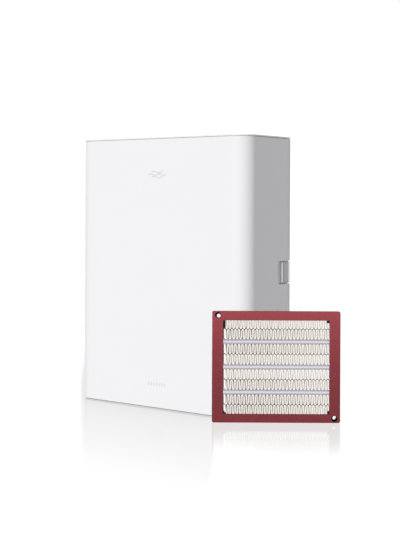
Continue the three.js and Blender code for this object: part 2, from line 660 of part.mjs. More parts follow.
function boardTray() {
  const { x, thickness, rear, front, low, high } = BOARD;
  const { back, face, rim, margin, post, postInset } = BOARD_TRAY;
  const [trayFront, trayRear, trayLow] = [front - rim, rear + rim, low - margin];
  const posts = [front + postInset, rear - postInset].flatMap((y) => (
    [low + postInset, high - postInset].map((z) => rodAlongX(y, z, post, x - face - SINK, x - REST_GAP))
  ));
  return join(
    block(x - back, x - face, trayFront, trayRear, trayLow, high + margin),
    block(x - back, x + thickness + rim, trayFront, trayRear, SEAT.low, trayLow + SINK),
    ...posts,
  );
}

function controlBoard() {
  const { x, thickness, rear, front, low, high } = BOARD;
  const face = x + thickness;
  const on = (yMin, yMax, zMin, zMax, rise) => (
    block(face - SINK, face + rise, yMin, yMax, zMin, zMax)
  );
  const relays = [0, 1, 2].map((i) => on(-100, -84, 470 + 26 * i, 490 + 26 * i, 17));
  const capacitors = [-36, -56].map((y) => rodAlongX(y, 440, 8, face - SINK, face + 26, 20));
  const terminalBlock = on(-96, -64, 336, 360, 15);
  const motorPlug = on(-52, -26, 334, 356, 12);
  const transformer = on(-98, -58, 376, 424, 20);
  const filterChoke = on(-50, -24, 372, 402, 14);
  const controller = on(-70, -28, 470, 512, 3);
  const sensorPlug = on(-66, -30, 532, 546, 9);
  return join(
    block(x, face, front, rear, low, high),
    terminalBlock, motorPlug, transformer, filterChoke, controller, sensorPlug,
    ...relays,
    ...capacitors,
  );
}

// ---------------------------------------------------------------- Heater module, in its own frame
// x runs across its face from the middle, y goes back from the red face and z goes up from its base.

function heaterFacePlate() {
  const { height, faceSheet, lip, corner } = MODULE;
  const half = MODULE.width / 2;
  const { halfWidth, low, high } = FACE_OPENING;
  const [inner, top] = [half - faceSheet, height - faceSheet];
  return cut(
    extrude(rectangle(-half, half, 0, height, corner), 'y', 0, lip, 3),
    extrude(rectangle(-inner, inner, faceSheet, top, corner - faceSheet), 'y', faceSheet, lip + OVER, 3),
    block(-halfWidth, halfWidth, -OVER, lip, low, high),
    ...FACE_HOLES.places.map(([x, z]) => rodAlongY(x, z, FACE_HOLES.radius, -OVER, faceSheet + OVER, 16)),
  );
}

// The deep frame behind the red plate, with thin webs across its four inner corners.
function heaterCarrierFrame() {
  const { halfWidth, low, high, front, skin, coreHalf } = CARRIER;
  const [coreLow, coreHigh] = [CORE.low - SINK, MODULE.height - CORE.low + SINK];
  const [side, bottom, top] = [coreHalf + OVER, coreLow - OVER, coreHigh + OVER];
  const webs = [
    [[-side, top], [-105.2, top], [-105.2, 195], [-side, 195]],
    [[-side, bottom], [-102.5, bottom], [-102.5, 18.4], [-111, 28], [-side, 28]],
    [[side, top], [side, 206.5], [104.5, 206.5], [104.5, top]],
    [[side, bottom], [side, 25], [106, 25], [106, bottom]],
  ];
  const [cutFront, cutBack] = [front - OVER, MODULE.depth + OVER];
  const frame = cut(
    extrude(rectangle(-halfWidth, halfWidth, low, high, 3), 'y', front, MODULE.depth, 2),
    block(-coreHalf, coreHalf, cutFront, cutBack, coreLow, coreHigh),
  );
  return cut(
    join(frame, ...webs.map((points) => extrude(polygon(points), 'y', front, front + skin))),
    ...CARRIER_HOLES.places.map(([x, z]) => rodAlongY(x, z, CARRIER_HOLES.radius, cutFront, cutBack, 12)),
  );
}

// Bands of fins alternate with bars, from the bottom up.
const bandLow = (band) => CORE.low + band * (CORE.band + CORE.bar);
const barLow = (bar) => bandLow(bar) + CORE.band;

function finRow(row) {
  const clear = REST_GAP;
  const { separator, sheet } = FIN;
  const height = (CORE.band - separator) / 2 - 2 * clear;
  const low = bandLow(Math.floor(row / 2)) + clear + (row % 2) * (height + 2 * clear + separator);
  const width = CORE.right - CORE.left;
  const folds = Math.round((2 * width) / CORE.pitch);
  const line = Array.from({ length: folds + 1 }, (_, i) => (
    [CORE.left + (width * i) / folds, i % 2 ? low : low + height - sheet]
  ));
  const outline = [...line, ...line.map(([x, z]) => [x, z + sheet]).reverse()];
  return extrude(polygon(outline), 'y', CORE.front, CORE.back);
}

function finSeparator(band) {
  const middle = bandLow(band) + CORE.band / 2;
  const half = FIN.separator / 2;
  return block(CORE.left, CORE.right, CORE.front, CORE.back, middle - half, middle + half);
}

function elementBar(bar) {
  const [low, high] = [barLow(bar), barLow(bar) + CORE.bar];
  const { corner, wall, skin, reach } = TUBE;
  const section = rectangle(CORE.front, CORE.back, low, high, corner);
  const [left, right] = [CORE.left - reach, CORE.right];
  return cut(
    extrude(section, 'x', left, right, 2),
    block(left - OVER, right + OVER, CORE.front + wall, CORE.back - wall, low + skin, high - skin),
  );
}

function heatingStrip(bar) {
  const middle = barLow(bar) + CORE.bar / 2;
  const { wall, reach, stripInset, stripHalf } = TUBE;
  const inset = wall + REST_GAP;
  return block(
    CORE.left + stripInset, CORE.right - reach, CORE.front + inset, CORE.back - inset,
    middle - stripHalf, middle + stripHalf,
  );
}

function heaterTerminalBlock() {
  const { xMin, xMax, low, high, depth, pins, pinHalf } = TERMINALS;
  const back = MODULE.depth + REST_GAP;
  const inset = (xMax - xMin) / 3;
  const sockets = pins.map((z) => block(
    xMin + inset, xMax - inset, back + depth / 3, back + depth + OVER, z - pinHalf, z + pinHalf,
  ));
  return cut(block(xMin, xMax, back, back + depth, low, high), ...sockets);
}

function thermalCutout() {
  const { xMin, xMax, half, sheet, radius, depth } = CUTOUT;
  const middle = barLow(1) + CORE.bar / 2;
  const back = CORE.back + REST_GAP;
  return join(
    block(xMin, xMax, back, back + sheet, middle - half, middle + half),
    rodAlongY((xMin + xMax) / 2, middle, radius, back + SINK, back + depth, 16),
  );
}

// ---------------------------------------------------------------- Assembly

const unit = new THREE.Group();
const cabinet = new THREE.Group();
cabinet.position.y = CASE.depth / 2;
unit.add(cabinet);

function addPart(parent, name, geometry, color, roughness, metalness = 0) {
  const mesh = new THREE.Mesh(geometry, new THREE.MeshStandardMaterial({ color, roughness, metalness }));
  mesh.name = name;
  parent.add(mesh);
}

const WHITE_PAINT = ['#f1f1f4', 0.34];
const ZINC = ['#c3c6c9', 0.42, 0.9];
const ALUMINIUM = ['#c8c8d2', 0.3, 0.95];
const BLACK_PLASTIC = ['#1d1c1e', 0.5];
const GREY_PLASTIC = ['#b9bcc0', 0.5];

addPart(cabinet, 'front_shell', frontShell(), ...WHITE_PAINT);
addPart(cabinet, 'acoustic_mat', acousticMat(), '#3b3c40', 0.95);
addPart(cabinet, 'top_cap', topCap(), ...WHITE_PAINT);
addPart(cabinet, 'base_panel', basePanel(), ...WHITE_PAINT);
addPart(cabinet, 'back_plate', backPlate(), ...WHITE_PAINT);
addPart(cabinet, 'wall_bracket', wallBracket(), ...ZINC);
for (const [side, word] of [[1, 'right'], [-1, 'left']]) {
  addPart(cabinet, `latch_button_${word}`, latchButton(side), '#e9e9ec', 0.4);
  addPart(cabinet, `latch_housing_${word}`, latchHousing(side), ...GREY_PLASTIC);
  addPart(cabinet, `latch_spring_${word}`, latchSpring(side), '#a8a9ad', 0.3, 0.95);
}
addPart(cabinet, 'inlet_collar', inletCollar(), ...GREY_PLASTIC);
addPart(cabinet, 'gate_seal', gateSeal(), '#26272a', 0.9);
addPart(cabinet, 'cable_gland', cableGland(), ...BLACK_PLASTIC);
addPart(cabinet, 'mains_cable', mainsCable(), '#e6e6e8', 0.5);
addPart(cabinet, 'filter_housing', filterHousing(), '#dfe1e3', 0.55);
addPart(cabinet, 'shutter_gate', shutterGate(), '#d2d4d6', 0.5);
addPart(cabinet, 'shutter_pinion', shutterPinion(), '#f0efe8', 0.45);
addPart(cabinet, 'shutter_motor', shutterMotor(), '#b4b6b8', 0.35, 0.8);
addPart(cabinet, 'pre_filter', preFilter(), '#46484c', 0.9);
addPart(cabinet, 'hepa_filter', pleatedFilter(), '#f4f3ee', 0.95);
addPart(cabinet, 'carbon_filter', carbonFilter(), '#2b2b2d', 0.95);
addPart(cabinet, 'mid_shelf', midShelf(), ...ZINC);
addPart(cabinet, 'heater_seat_panel', heaterSeatPanel(), ...ZINC);
addPart(cabinet, 'heater_socket', heaterSocket(), ...BLACK_PLASTIC);
addPart(cabinet, 'fan_scroll', fanScroll(), '#2e3033', 0.55);
addPart(cabinet, 'fan_cover', fanCover(), '#2e3033', 0.55);
addPart(cabinet, 'fan_motor', fanMotor(), '#8f9296', 0.4, 0.7);
addPart(cabinet, 'impeller', impeller(), '#3a3c40', 0.5);
addPart(cabinet, 'board_tray', boardTray(), '#e4e5e7', 0.55);
addPart(cabinet, 'control_board', controlBoard(), '#2c6b3f', 0.5);

const { turn, sideways, forward } = MODULE_STAND;
const heater = new THREE.Group();
heater.rotation.z = turn;
heater.position.set(
  HALF_WIDTH + sideways * Math.cos(turn) + forward * Math.sin(turn),
  -CASE.depth + sideways * Math.sin(turn) - forward * Math.cos(turn),
  0,
);
cabinet.add(heater);
addPart(heater, 'heater_face_plate', heaterFacePlate(), '#8b3d42', 0.42, 0.1);
addPart(heater, 'heater_carrier_frame', heaterCarrierFrame(), ...BLACK_PLASTIC);
addPart(heater, 'heater_terminal_block', heaterTerminalBlock(), ...BLACK_PLASTIC);
addPart(heater, 'thermal_cutout', thermalCutout(), ...BLACK_PLASTIC);
for (let row = 0; row < 8; row += 1) {
  addPart(heater, `fin_row_${row + 1}`, finRow(row), '#dad6d4', 0.35, 0.9);
}
for (let band = 0; band < 4; band += 1) {
  addPart(heater, `fin_separator_${band + 1}`, finSeparator(band), '#9a918c', 0.5, 0.8);
}
for (let bar = 0; bar < 3; bar += 1) {
  addPart(heater, `element_bar_${bar + 1}`, elementBar(bar), ...ALUMINIUM);
  addPart(heater, `heating_strip_${bar + 1}`, heatingStrip(bar), '#75685c', 0.8);
}

export default unit;
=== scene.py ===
"""Looks of the supply-air ventilation cabinet and its heater module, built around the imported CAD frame.

Everything is in metres in the row frame: +Z up, -Y towards the room, +X to the right, with the origin
at the middle of the cabinet's underside. Sizes are worked out from the CAD nodes' boxes.
"""

import json
import math
import random

import bmesh
import bpy
from mathutils import Matrix, Vector


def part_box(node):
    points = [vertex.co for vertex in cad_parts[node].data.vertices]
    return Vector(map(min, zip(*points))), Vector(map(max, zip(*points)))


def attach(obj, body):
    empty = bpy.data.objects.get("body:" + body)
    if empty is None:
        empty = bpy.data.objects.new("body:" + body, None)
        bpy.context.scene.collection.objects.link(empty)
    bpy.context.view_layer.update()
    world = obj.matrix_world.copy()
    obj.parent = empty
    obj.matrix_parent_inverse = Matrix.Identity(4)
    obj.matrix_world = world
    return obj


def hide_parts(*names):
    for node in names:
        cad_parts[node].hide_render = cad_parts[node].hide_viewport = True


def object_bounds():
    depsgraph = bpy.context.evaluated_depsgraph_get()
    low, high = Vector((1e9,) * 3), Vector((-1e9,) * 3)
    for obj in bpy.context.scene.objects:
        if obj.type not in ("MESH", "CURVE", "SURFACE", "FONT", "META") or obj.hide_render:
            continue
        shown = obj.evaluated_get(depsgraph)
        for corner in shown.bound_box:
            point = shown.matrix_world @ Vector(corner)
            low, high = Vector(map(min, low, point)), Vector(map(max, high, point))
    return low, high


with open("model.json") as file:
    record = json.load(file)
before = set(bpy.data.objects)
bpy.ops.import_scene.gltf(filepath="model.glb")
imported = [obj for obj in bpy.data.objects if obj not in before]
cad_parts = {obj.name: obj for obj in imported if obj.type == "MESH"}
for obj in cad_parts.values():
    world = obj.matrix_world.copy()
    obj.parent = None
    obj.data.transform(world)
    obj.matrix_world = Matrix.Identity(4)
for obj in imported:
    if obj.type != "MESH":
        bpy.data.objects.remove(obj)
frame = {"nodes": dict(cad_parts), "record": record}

MM = 0.001
CAD_LOW, CAD_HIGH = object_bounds()
scene = bpy.context.scene


# ---------------------------------------------------------------- Dimensions read from the frame

SHELL_LOW, SHELL_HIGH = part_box("front_shell")
CAP_LOW, CAP_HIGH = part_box("top_cap")
BASE_LOW, BASE_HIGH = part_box("base_panel")
BACK_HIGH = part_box("back_plate")[1]
HALF_WIDTH = CAP_HIGH.x
FRONT = CAP_LOW.y
WALL = CAP_HIGH.y
HEIGHT = CAP_HIGH.z
CORNER = 36 * MM
SHELL_WALL = 2.5 * MM
MODULE_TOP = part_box("heater_face_plate")[1].z


# ---------------------------------------------------------------- Mesh helpers

def new_object(name, mesh):
    obj = bpy.data.objects.new(name, mesh)
    scene.collection.objects.link(obj)
    return obj


def object_from_bmesh(name, bm):
    bmesh.ops.recalc_face_normals(bm, faces=bm.faces)
    mesh = bpy.data.meshes.new(name)
    bm.to_mesh(mesh)
    bm.free()
    return new_object(name, mesh)


def place(axis, a, b, height):
    """A point of an outline pushed along an axis: y,z along x; x,z along y; x,y along z."""
    return {"x": (height, a, b), "y": (a, height, b), "z": (a, b, height)}[axis]


def join_rings(bm, rings):
    """Joins each closed ring of vertices to the next by a band of faces."""
    for ring, following in zip(rings, rings[1:]):
        for i in range(len(ring)):
            j = (i + 1) % len(ring)
            bm.faces.new((ring[i], ring[j], following[j], following[i]))


def prism(name, outline, axis, low, high):
    bm = bmesh.new()
    near, far = ([bm.verts.new(place(axis, a, b, h)) for a, b in outline] for h in (low, high))
    bm.faces.new(near)
    bm.faces.new(far[::-1])
    for i in range(len(outline)):
        j = (i + 1) % len(outline)
        bm.faces.new((near[i], far[i], far[j], near[j]))
    return object_from_bmesh(name, bm)


def turned(name, profile, centre, base=0.0, axis="y", sides=64):
    """A body turned about a line; profile points are radius and distance from the base, in millimetres."""
    bm = bmesh.new()
    rings = []
    for radius, along in profile:
        ring = []
        for angle in circle_angles(sides):
            a, b = radius * MM * math.cos(angle), radius * MM * math.sin(angle)
            ring.append(bm.verts.new(Vector(place(axis, a, b, base + along * MM)) + Vector(centre)))
        rings.append(ring)
    join_rings(bm, rings + rings[:1])
    bmesh.ops.remove_doubles(bm, verts=bm.verts, dist=1e-7)
    return object_from_bmesh(name, bm)


def rod(name, centre, radius, low, high, axis="y", sides=40):
    outline = [(radius * math.cos(t), radius * math.sin(t)) for t in circle_angles(sides)]
    obj = prism(name, outline, axis, low, high)
    obj.data.transform(Matrix.Translation(Vector(centre)))
    return obj


def block(name, low, high):
    outline = [(low[0], low[1]), (high[0], low[1]), (high[0], high[1]), (low[0], high[1])]
    return prism(name, outline, "z", low[2], high[2])


def swept(name, points, radius, sides=12):
    """A round tube along a smooth line through the points, with flat ends."""
    curve = bpy.data.curves.new(name, "CURVE")
    curve.dimensions = "3D"
    curve.bevel_depth = radius
    curve.bevel_resolution = sides // 4
    curve.use_fill_caps = True
    spline = curve.splines.new("NURBS")
    spline.points.add(len(points) - 1)
    for knot, point in zip(spline.points, points):
        knot.co = (*point, 1)
    spline.use_endpoint_u = True
    spline.order_u = 4
    spline.resolution_u = 8
    obj = new_object(name, curve)
    return bake(obj)


def bake(obj):
    """Replaces an object by its mesh with every modifier applied."""
    graph = bpy.context.evaluated_depsgraph_get()
    graph.update()
    mesh = bpy.data.meshes.new_from_object(obj.evaluated_get(graph), depsgraph=graph)
    if obj.type == "MESH":
        obj.modifiers.clear()
        obj.data = mesh
        return obj
    name = obj.name
    bpy.data.objects.remove(obj)
    return new_object(name, mesh)


def copied(name, node):
    """A copy of a CAD node's mesh with its flat faces made whole, to be refined."""
    source = frame["nodes"][node]
    bm = bmesh.new()
    bm.from_mesh(source.data)
    bm.transform(source.matrix_world)
    bmesh.ops.remove_doubles(bm, verts=bm.verts, dist=1e-6)
    bmesh.ops.dissolve_limit(bm, angle_limit=math.radians(0.5), verts=bm.verts, edges=bm.edges)
    return object_from_bmesh(name, bm)


def carve(obj, *cutters):
    for cutter in cutters:
        modifier = obj.modifiers.new("carve", "BOOLEAN")
        modifier.object = cutter
        modifier.operation = "DIFFERENCE"
        modifier.solver = "EXACT"
    bake(obj)
    for cutter in cutters:
        bpy.data.objects.remove(cutter)
    return obj


def fuse(obj, *others):
    """Adds other bodies' meshes to an object's, each as it is."""
    bm = bmesh.new()
    bm.from_mesh(obj.data)
    for other in others:
        bm.from_mesh(other.data)
        bpy.data.objects.remove(other)
    bm.to_mesh(obj.data)
    bm.free()
    return obj


def soften(obj, width, segments=2, angle=32):
    """Rounds every edge sharper than the angle and shades the faces between smoothly."""
    modifier = obj.modifiers.new("edges", "BEVEL")
    modifier.width = width
    modifier.segments = segments
    modifier.limit_method = "ANGLE"
    modifier.angle_limit = math.radians(angle)
    modifier.harden_normals = False
    bake(obj)
    return shade(obj)


def shade(obj, angle=50):
    mesh = obj.data
    mesh.shade_smooth()
    mesh.set_sharp_from_angle(angle=math.radians(angle))
    modifier = obj.modifiers.new("weighted", "WEIGHTED_NORMAL")
    modifier.keep_sharp = True
    return bake(obj)


def mirror(obj, axis):
    """Mirrors a piece in the plane through the origin that the axis stands on."""
    obj.data.transform(Matrix.Scale(-1, 4, Vector(axis)))
    obj.data.flip_normals()


def circle_angles(count):
    return [2 * math.pi * i / count for i in range(count)]


def arc(centre, radius, start, end, steps):
    points = []
    for i in range(steps + 1):
        angle = math.radians(start + (end - start) * i / steps)
        points.append((centre[0] + radius * math.cos(angle), centre[1] + radius * math.sin(angle)))
    return points


def rounded(x_min, x_max, y_min, y_max, radius, steps=8):
    return (
        arc((x_max - radius, y_min + radius), radius, -90, 0, steps)
        + arc((x_max - radius, y_max - radius), radius, 0, 90, steps)
        + arc((x_min + radius, y_max - radius), radius, 90, 180, steps)
        + arc((x_min + radius, y_min + radius), radius, 180, 270, steps)
    )


def case_plan(inset, rear, steps=28):
    """The cabinet's plan: flat front, rounded front corners and a square rear."""
    half, front, radius = HALF_WIDTH - inset, FRONT + inset, CORNER - inset
    return (
        [(half, rear), (-half, rear)]
        + arc((-half + radius, front + radius), radius, 180, 270, steps)
        + arc((half - radius, front + radius), radius, 270, 360, steps)
    )


# ---------------------------------------------------------------- Materials

class Graph:
    """Builds the shader nodes of a material or a world."""

    def __init__(self, owner):
        owner.use_nodes = True
        self.nodes = owner.node_tree.nodes
        self.links = owner.node_tree.links

    def feed(self, socket, value):
        """Links another node's output to an input, or sets the input to a plain value."""
        if isinstance(value, bpy.types.NodeSocket):
            self.links.new(value, socket)
        else:
            socket.default_value = value

    def add(self, kind, inputs=None, output=0, **settings):
        """Adds a node with its settings and inputs, and returns one of its outputs."""
        node = self.nodes.new("ShaderNode" + kind)
        for key, value in settings.items():
            setattr(node, key, value)
        for key, value in (inputs or {}).items():
            self.feed(node.inputs[key], value)
        return node.outputs[output]

    def maths(self, operation, *values):
        return self.add("Math", dict(enumerate(values)), operation=operation)

    def vector(self, operation, *values, output="Vector"):
        return self.add("VectorMath", dict(enumerate(values)), output, operation=operation)

    def step(self, value, low, high, kind="SMOOTHSTEP"):
        """Rises from 0 to 1 as the value goes from low to high."""
        inputs = {"Value": value, "From Min": low, "From Max": high}
        return self.add("MapRange", inputs, "Result", interpolation_type=kind)

    def between(self, factor, low, high):
        """A number from low to high as the factor goes from 0 to 1."""
        return self.add("MapRange", {"Value": factor, "To Min": low, "To Max": high}, "Result")

    def ramp(self, factor, *colours):
        """A colour that passes evenly through the given ones as the factor goes from 0 to 1."""
        node = self.nodes.new("ShaderNodeValToRGB")
        stops = node.color_ramp.elements
        for _ in colours[2:]:
            stops.new(0.5)
        for i, colour in enumerate(colours):
            stops[i].position = i / (len(colours) - 1)
            stops[i].color = (*colour, 1)
        self.feed(node.inputs["Fac"], factor)
        return node.outputs["Color"]

    def mix(self, factor, first, second):
        return self.add("MixShader", {0: factor, 1: first, 2: second})

    def show(self, kind, surface):
        self.feed(self.nodes.new("ShaderNodeOutput" + kind).inputs["Surface"], surface)


class Look(Graph):
    """A Principled material whose inputs are fed by small procedural graphs."""

    def __init__(self, name, colour, roughness, metallic=0.0):
        self.material = bpy.data.materials.new(name)
        super().__init__(self.material)
        self.surface = self.nodes["Principled BSDF"]
        self.set("Base Color", (*colour, 1))
        self.set("Roughness", roughness)
        self.set("Metallic", metallic)
        self.coordinates = self.add("TexCoord", output="Object")

    def set(self, name, value):
        self.feed(self.surface.inputs[name], value)

    def stretched(self, scale):
        return self.add("Mapping", {"Scale": scale, "Vector": self.coordinates}, "Vector")

    def noise(self, scale, detail, vector=None):
        inputs = {"Scale": scale, "Detail": detail, "Vector": vector or self.coordinates}
        return self.add("TexNoise", inputs, "Fac")

    def cells(self, scale, vector=None, output="Distance", feature="F1"):
        inputs = {"Scale": scale, "Vector": vector or self.coordinates}
        return self.add("TexVoronoi", inputs, output, feature=feature)

    def tint(self, factor, first, second):
        self.set("Base Color", self.ramp(factor, first, second))

    def vary_roughness(self, factor, low, high):
        self.set("Roughness", self.between(factor, low, high))

    def bump(self, height, distance, strength):
        inputs = {"Strength": strength, "Distance": distance, "Height": height}
        self.set("Normal", self.add("Bump", inputs, "Normal"))


def grey(value):
    return (value, value, value)


def scaled(colour, factor):
    return tuple(channel * factor for channel in colour)


def powder_coat(name, colour):
    """Satin powder coat: a fine orange peel, slight gloss changes and hardly any change of tone."""
    look = Look(name, colour, roughness=0.36)
    look.tint(look.noise(9, 3), scaled(colour, 0.985), colour)
    look.vary_roughness(look.noise(60, 3), 0.32, 0.42)
    look.bump(look.noise(900, 2), 0.05 * MM, 0.35)
    return look.material


def moulded(name, colour, roughness=0.5, grain=1400, shine=0.5):
    """Moulded plastic with a fine spark-eroded grain."""
    look = Look(name, colour, roughness=roughness)
    look.set("Specular IOR Level", shine)
    look.tint(look.noise(25, 2), scaled(colour, 0.94), scaled(colour, 1.03))
    look.vary_roughness(look.noise(180, 2), roughness - 0.06, roughness + 0.06)
    look.bump(look.noise(grain, 3), 0.04 * MM, 0.5)
    return look.material


def zinc_sheet(name, colour):
    """Zinc-coated sheet: a faint spangle and rolling marks."""
    look = Look(name, colour, roughness=0.4, metallic=0.9)
    look.tint(look.cells(220, output="Color"), scaled(colour, 0.82), colour)
    look.vary_roughness(look.cells(220), 0.32, 0.5)
    look.bump(look.noise(300, 2, look.stretched((0.2, 1, 4))), 0.02 * MM, 0.4)
    return look.material


def drawn_metal(name, colour, roughness, stretch):
    """Metal with fine lines along one direction."""
    look = Look(name, colour, roughness=roughness, metallic=0.9)
    lines = look.noise(500, 3, look.stretched(stretch))
    look.tint(lines, scaled(colour, 0.86), scaled(colour, 1.04))
    look.vary_roughness(lines, roughness - 0.08, roughness + 0.1)
    look.bump(lines, 0.02 * MM, 0.4)
    return look.material


def rubber(name, colour):
    look = Look(name, colour, roughness=0.8)
    look.vary_roughness(look.noise(120, 2), 0.7, 0.9)
    look.bump(look.noise(700, 3), 0.05 * MM, 0.5)
    return look.material


def open_foam(name, colour, scale):
    """Open-cell foam: pores painted dark as the shade in the voids, between pale struts."""
    look = Look(name, colour, roughness=0.95)
    pores = look.cells(scale, feature="DISTANCE_TO_EDGE")
    look.tint(pores, scaled(colour, 1.5), scaled(colour, 0.5))
    look.bump(pores, 0.4 * MM, 0.8)
    return look.material


def fibre_paper(name, colour):
    look = Look(name, colour, roughness=0.95)
    fibres = look.noise(900, 4, look.stretched((1, 1, 0.25)))
    look.tint(fibres, scaled(colour, 0.88), colour)
    look.bump(fibres, 0.1 * MM, 0.5)
    return look.material


def red_coat(name, low, high):
    """Dark red satin coat with a fine leathery grain, and painted light: paler towards the top, as if lit
    from above.
    """
    look = Look(name, low, roughness=0.42)
    look.set("Specular IOR Level", 0.22)
    # Painted light: the height in the module lightens the coat towards its top.
    rise = look.maths("DIVIDE", look.add("SeparateXYZ", {0: look.coordinates}, "Z"), MODULE_TOP)
    grain = look.maths("SUBTRACT", look.maths("MULTIPLY", look.noise(170, 3), 0.7), 0.35)
    look.tint(look.maths("ADD", look.maths("MULTIPLY", rise, rise), grain), low, high)
    look.vary_roughness(look.noise(90, 3), 0.36, 0.5)
    look.bump(look.noise(800, 2), 0.05 * MM, 0.4)
    return look.material


# Painted shade: the fin foil's colours, from its lit front edges to its shaded depths.
FOIL_LIT_TO_SHADED = ((0.985, 0.966, 0.935), (0.43, 0.342, 0.265), (0.055, 0.03, 0.015))
FOIL_GLOW = 0.33  # light passed on between the bright foils, which a few bounces don't reach


def fin_foil_painted_shade(name):
    """Bright folded foil with painted shade: it turns brown and then near-black away from its front edges,
    and glows a little as painted light between the foils.
    """
    look = Look(name, FOIL_LIT_TO_SHADED[0], roughness=0.45, metallic=0.2)
    unevenness = look.noise(120, 3)
    # deep is the painted shade given to each fin vertex; the noise varies its strength and the roughness at
    # random.
    deep = look.add("Attribute", output="Fac", attribute_name="deep")
    colour = look.ramp(look.maths("MULTIPLY", deep, look.between(unevenness, 0.8, 1.25)), *FOIL_LIT_TO_SHADED)
    look.set("Base Color", colour)
    # Painted light: the foil glows in its own colour, standing in for light bounced between the foils.
    look.set("Emission Color", colour)
    look.set("Emission Strength", FOIL_GLOW)
    look.vary_roughness(unevenness, 0.35, 0.55)
    look.bump(look.noise(700, 2), 0.05 * MM, 0.4)
    return look.material


def circuit_mask(name, colour):
    """Solder mask over copper tracks: fine square-edged lines a little paler than the board."""
    look = Look(name, colour, roughness=0.32)
    tracks = look.cells(260, look.stretched((1, 1, 0.35)))
    look.tint(look.maths("GREATER_THAN", tracks, 0.55), colour, scaled(colour, 1.7))
    look.vary_roughness(look.noise(200, 2), 0.25, 0.42)
    look.bump(tracks, 0.03 * MM, 0.5)
    return look.material


LOOKS = {
    "white_paint": powder_coat("white_powder_coat", (0.86, 0.86, 0.87)),
    "white_plastic": moulded("white_moulded", (0.84, 0.84, 0.85), 0.42),
    "latch_white": moulded("latch_moulded", (0.66, 0.66, 0.68), 0.42),
    "rim_white": powder_coat("rim_powder_coat", (0.76, 0.76, 0.77)),
    # Painted shade: the dark brown of the carrier's side lips stands in for the shaded gap between the frame
    # and the fins.
    "lip_painted_shade": moulded("lip_shade_moulded", (0.07, 0.05, 0.045), 0.6, shine=0.15),
    "relay_grey": moulded("relay_moulded", (0.1, 0.12, 0.16), 0.4),
    "terminal_green": moulded("terminal_moulded", (0.05, 0.22, 0.1), 0.45),
    "grey_plastic": moulded("grey_moulded", (0.5, 0.51, 0.52)),
    "black_plastic": moulded("black_moulded", (0.011, 0.0105, 0.0105), 0.5, shine=0.15),
    "cable_sheath": moulded("cable_sheath", (0.72, 0.72, 0.73), 0.45, 700),
    "nylon": moulded("natural_nylon", (0.78, 0.76, 0.68), 0.35, 500),
    "zinc_sheet": zinc_sheet("zinc_sheet", (0.62, 0.63, 0.64)),
    "motor_steel": drawn_metal("motor_steel", (0.5, 0.51, 0.52), 0.35, (1, 0.05, 1)),
    "spring_steel": drawn_metal("spring_steel", (0.55, 0.55, 0.57), 0.3, (1, 1, 1)),
    "rubber_seal": rubber("seal_rubber", grey(0.02)),
    "mark_grey": moulded("mark_print", (0.7, 0.7, 0.72), 0.5),
    "shadow_grey": moulded("base_moulded", (0.3, 0.3, 0.31), 0.6),
    "filter_foam": open_foam("filter_mesh", grey(0.06), 500),
    "sound_foam": open_foam("sound_foam", grey(0.045), 380),
    "filter_paper": fibre_paper("glass_fibre_paper", (0.8, 0.79, 0.74)),
    "carbon_media": open_foam("carbon_felt", grey(0.03), 600),
    "circuit_board": circuit_mask("solder_mask", (0.02, 0.15, 0.055)),
    "red_paint": red_coat("dark_red_coat", (0.185, 0.029, 0.036), (0.335, 0.061, 0.072)),
    "fin_aluminium": fin_foil_painted_shade("fin_foil_painted_shade"),
    "bar_aluminium": drawn_metal("bar_aluminium", (0.72, 0.71, 0.78), 0.36, (0.05, 1, 1)),
    # Painted shade: a darker copy of the bar aluminium for the bars' lower edges.
    "bar_edge_painted_shade": drawn_metal("bar_edge_painted_shade", (0.47, 0.455, 0.49), 0.42, (0.05, 1, 1)),
    # Painted shade: a matt black without sheen for the shaded insides of the screw-hole rings.
    "hole_painted_shade": moulded("hole_shade_moulded", (0.003, 0.003, 0.003), 0.8, shine=0.0),
    "separator_sheet": drawn_metal("separator_sheet", (0.3, 0.27, 0.25), 0.5, (0.1, 1, 1)),
    "heater_ceramic": moulded("heater_film", (0.3, 0.22, 0.15), 0.5, 500),
}
NODE_SLOT = {part["node"]: part["material_slot"] for part in frame["record"]["subparts"]}
NODE_BODY = {
    node: body
    for body, nodes in frame["record"]["behaviour"]["bodies"].items()
    for node in nodes
}
MODULE_PIECES = []


def wear(obj, slot, look=None):
    obj.data.materials.clear()
    obj.data.materials.append(LOOKS[look or slot])
    return obj


def stand_for(obj, node, look=None):
    """Finishes a piece that takes a CAD node's place."""
    add_to(obj, node, NODE_SLOT[node], look)
    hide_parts(node)
    return obj


def add_to(obj, node, slot, look=None):
    """Finishes a piece that rides with a CAD node's body."""
    wear(obj, slot, look)
    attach(obj, NODE_BODY[node])
    if NODE_BODY[node] == "heater_module":
        obj.visible_diffuse = False
        MODULE_PIECES.append(obj)
    return obj


for node_name, cad_object in frame["nodes"].items():
    cad_object.data.materials.clear()
    cad_object.data.materials.append(LOOKS[NODE_SLOT[node_name]])


# ---------------------------------------------------------------- Casing

LATCH_LOW, LATCH_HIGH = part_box("latch_button_right")
LATCH_GAP = 0.7 * MM
NOTCH = {
    "front": LATCH_LOW.y - LATCH_GAP,
    "low": LATCH_LOW.z - LATCH_GAP,
    "high": LATCH_HIGH.z + LATCH_GAP,
    "corner": 8 * MM,
}


def latch_notch(side):
    outline = rounded(NOTCH["front"], WALL + 0.03, NOTCH["low"], NOTCH["high"], NOTCH["corner"])
    inner = LATCH_LOW.x - LATCH_GAP
    low, high = sorted((side * inner, side * (HALF_WIDTH + 5 * MM)))
    return prism("notch", outline, "x", low, high)


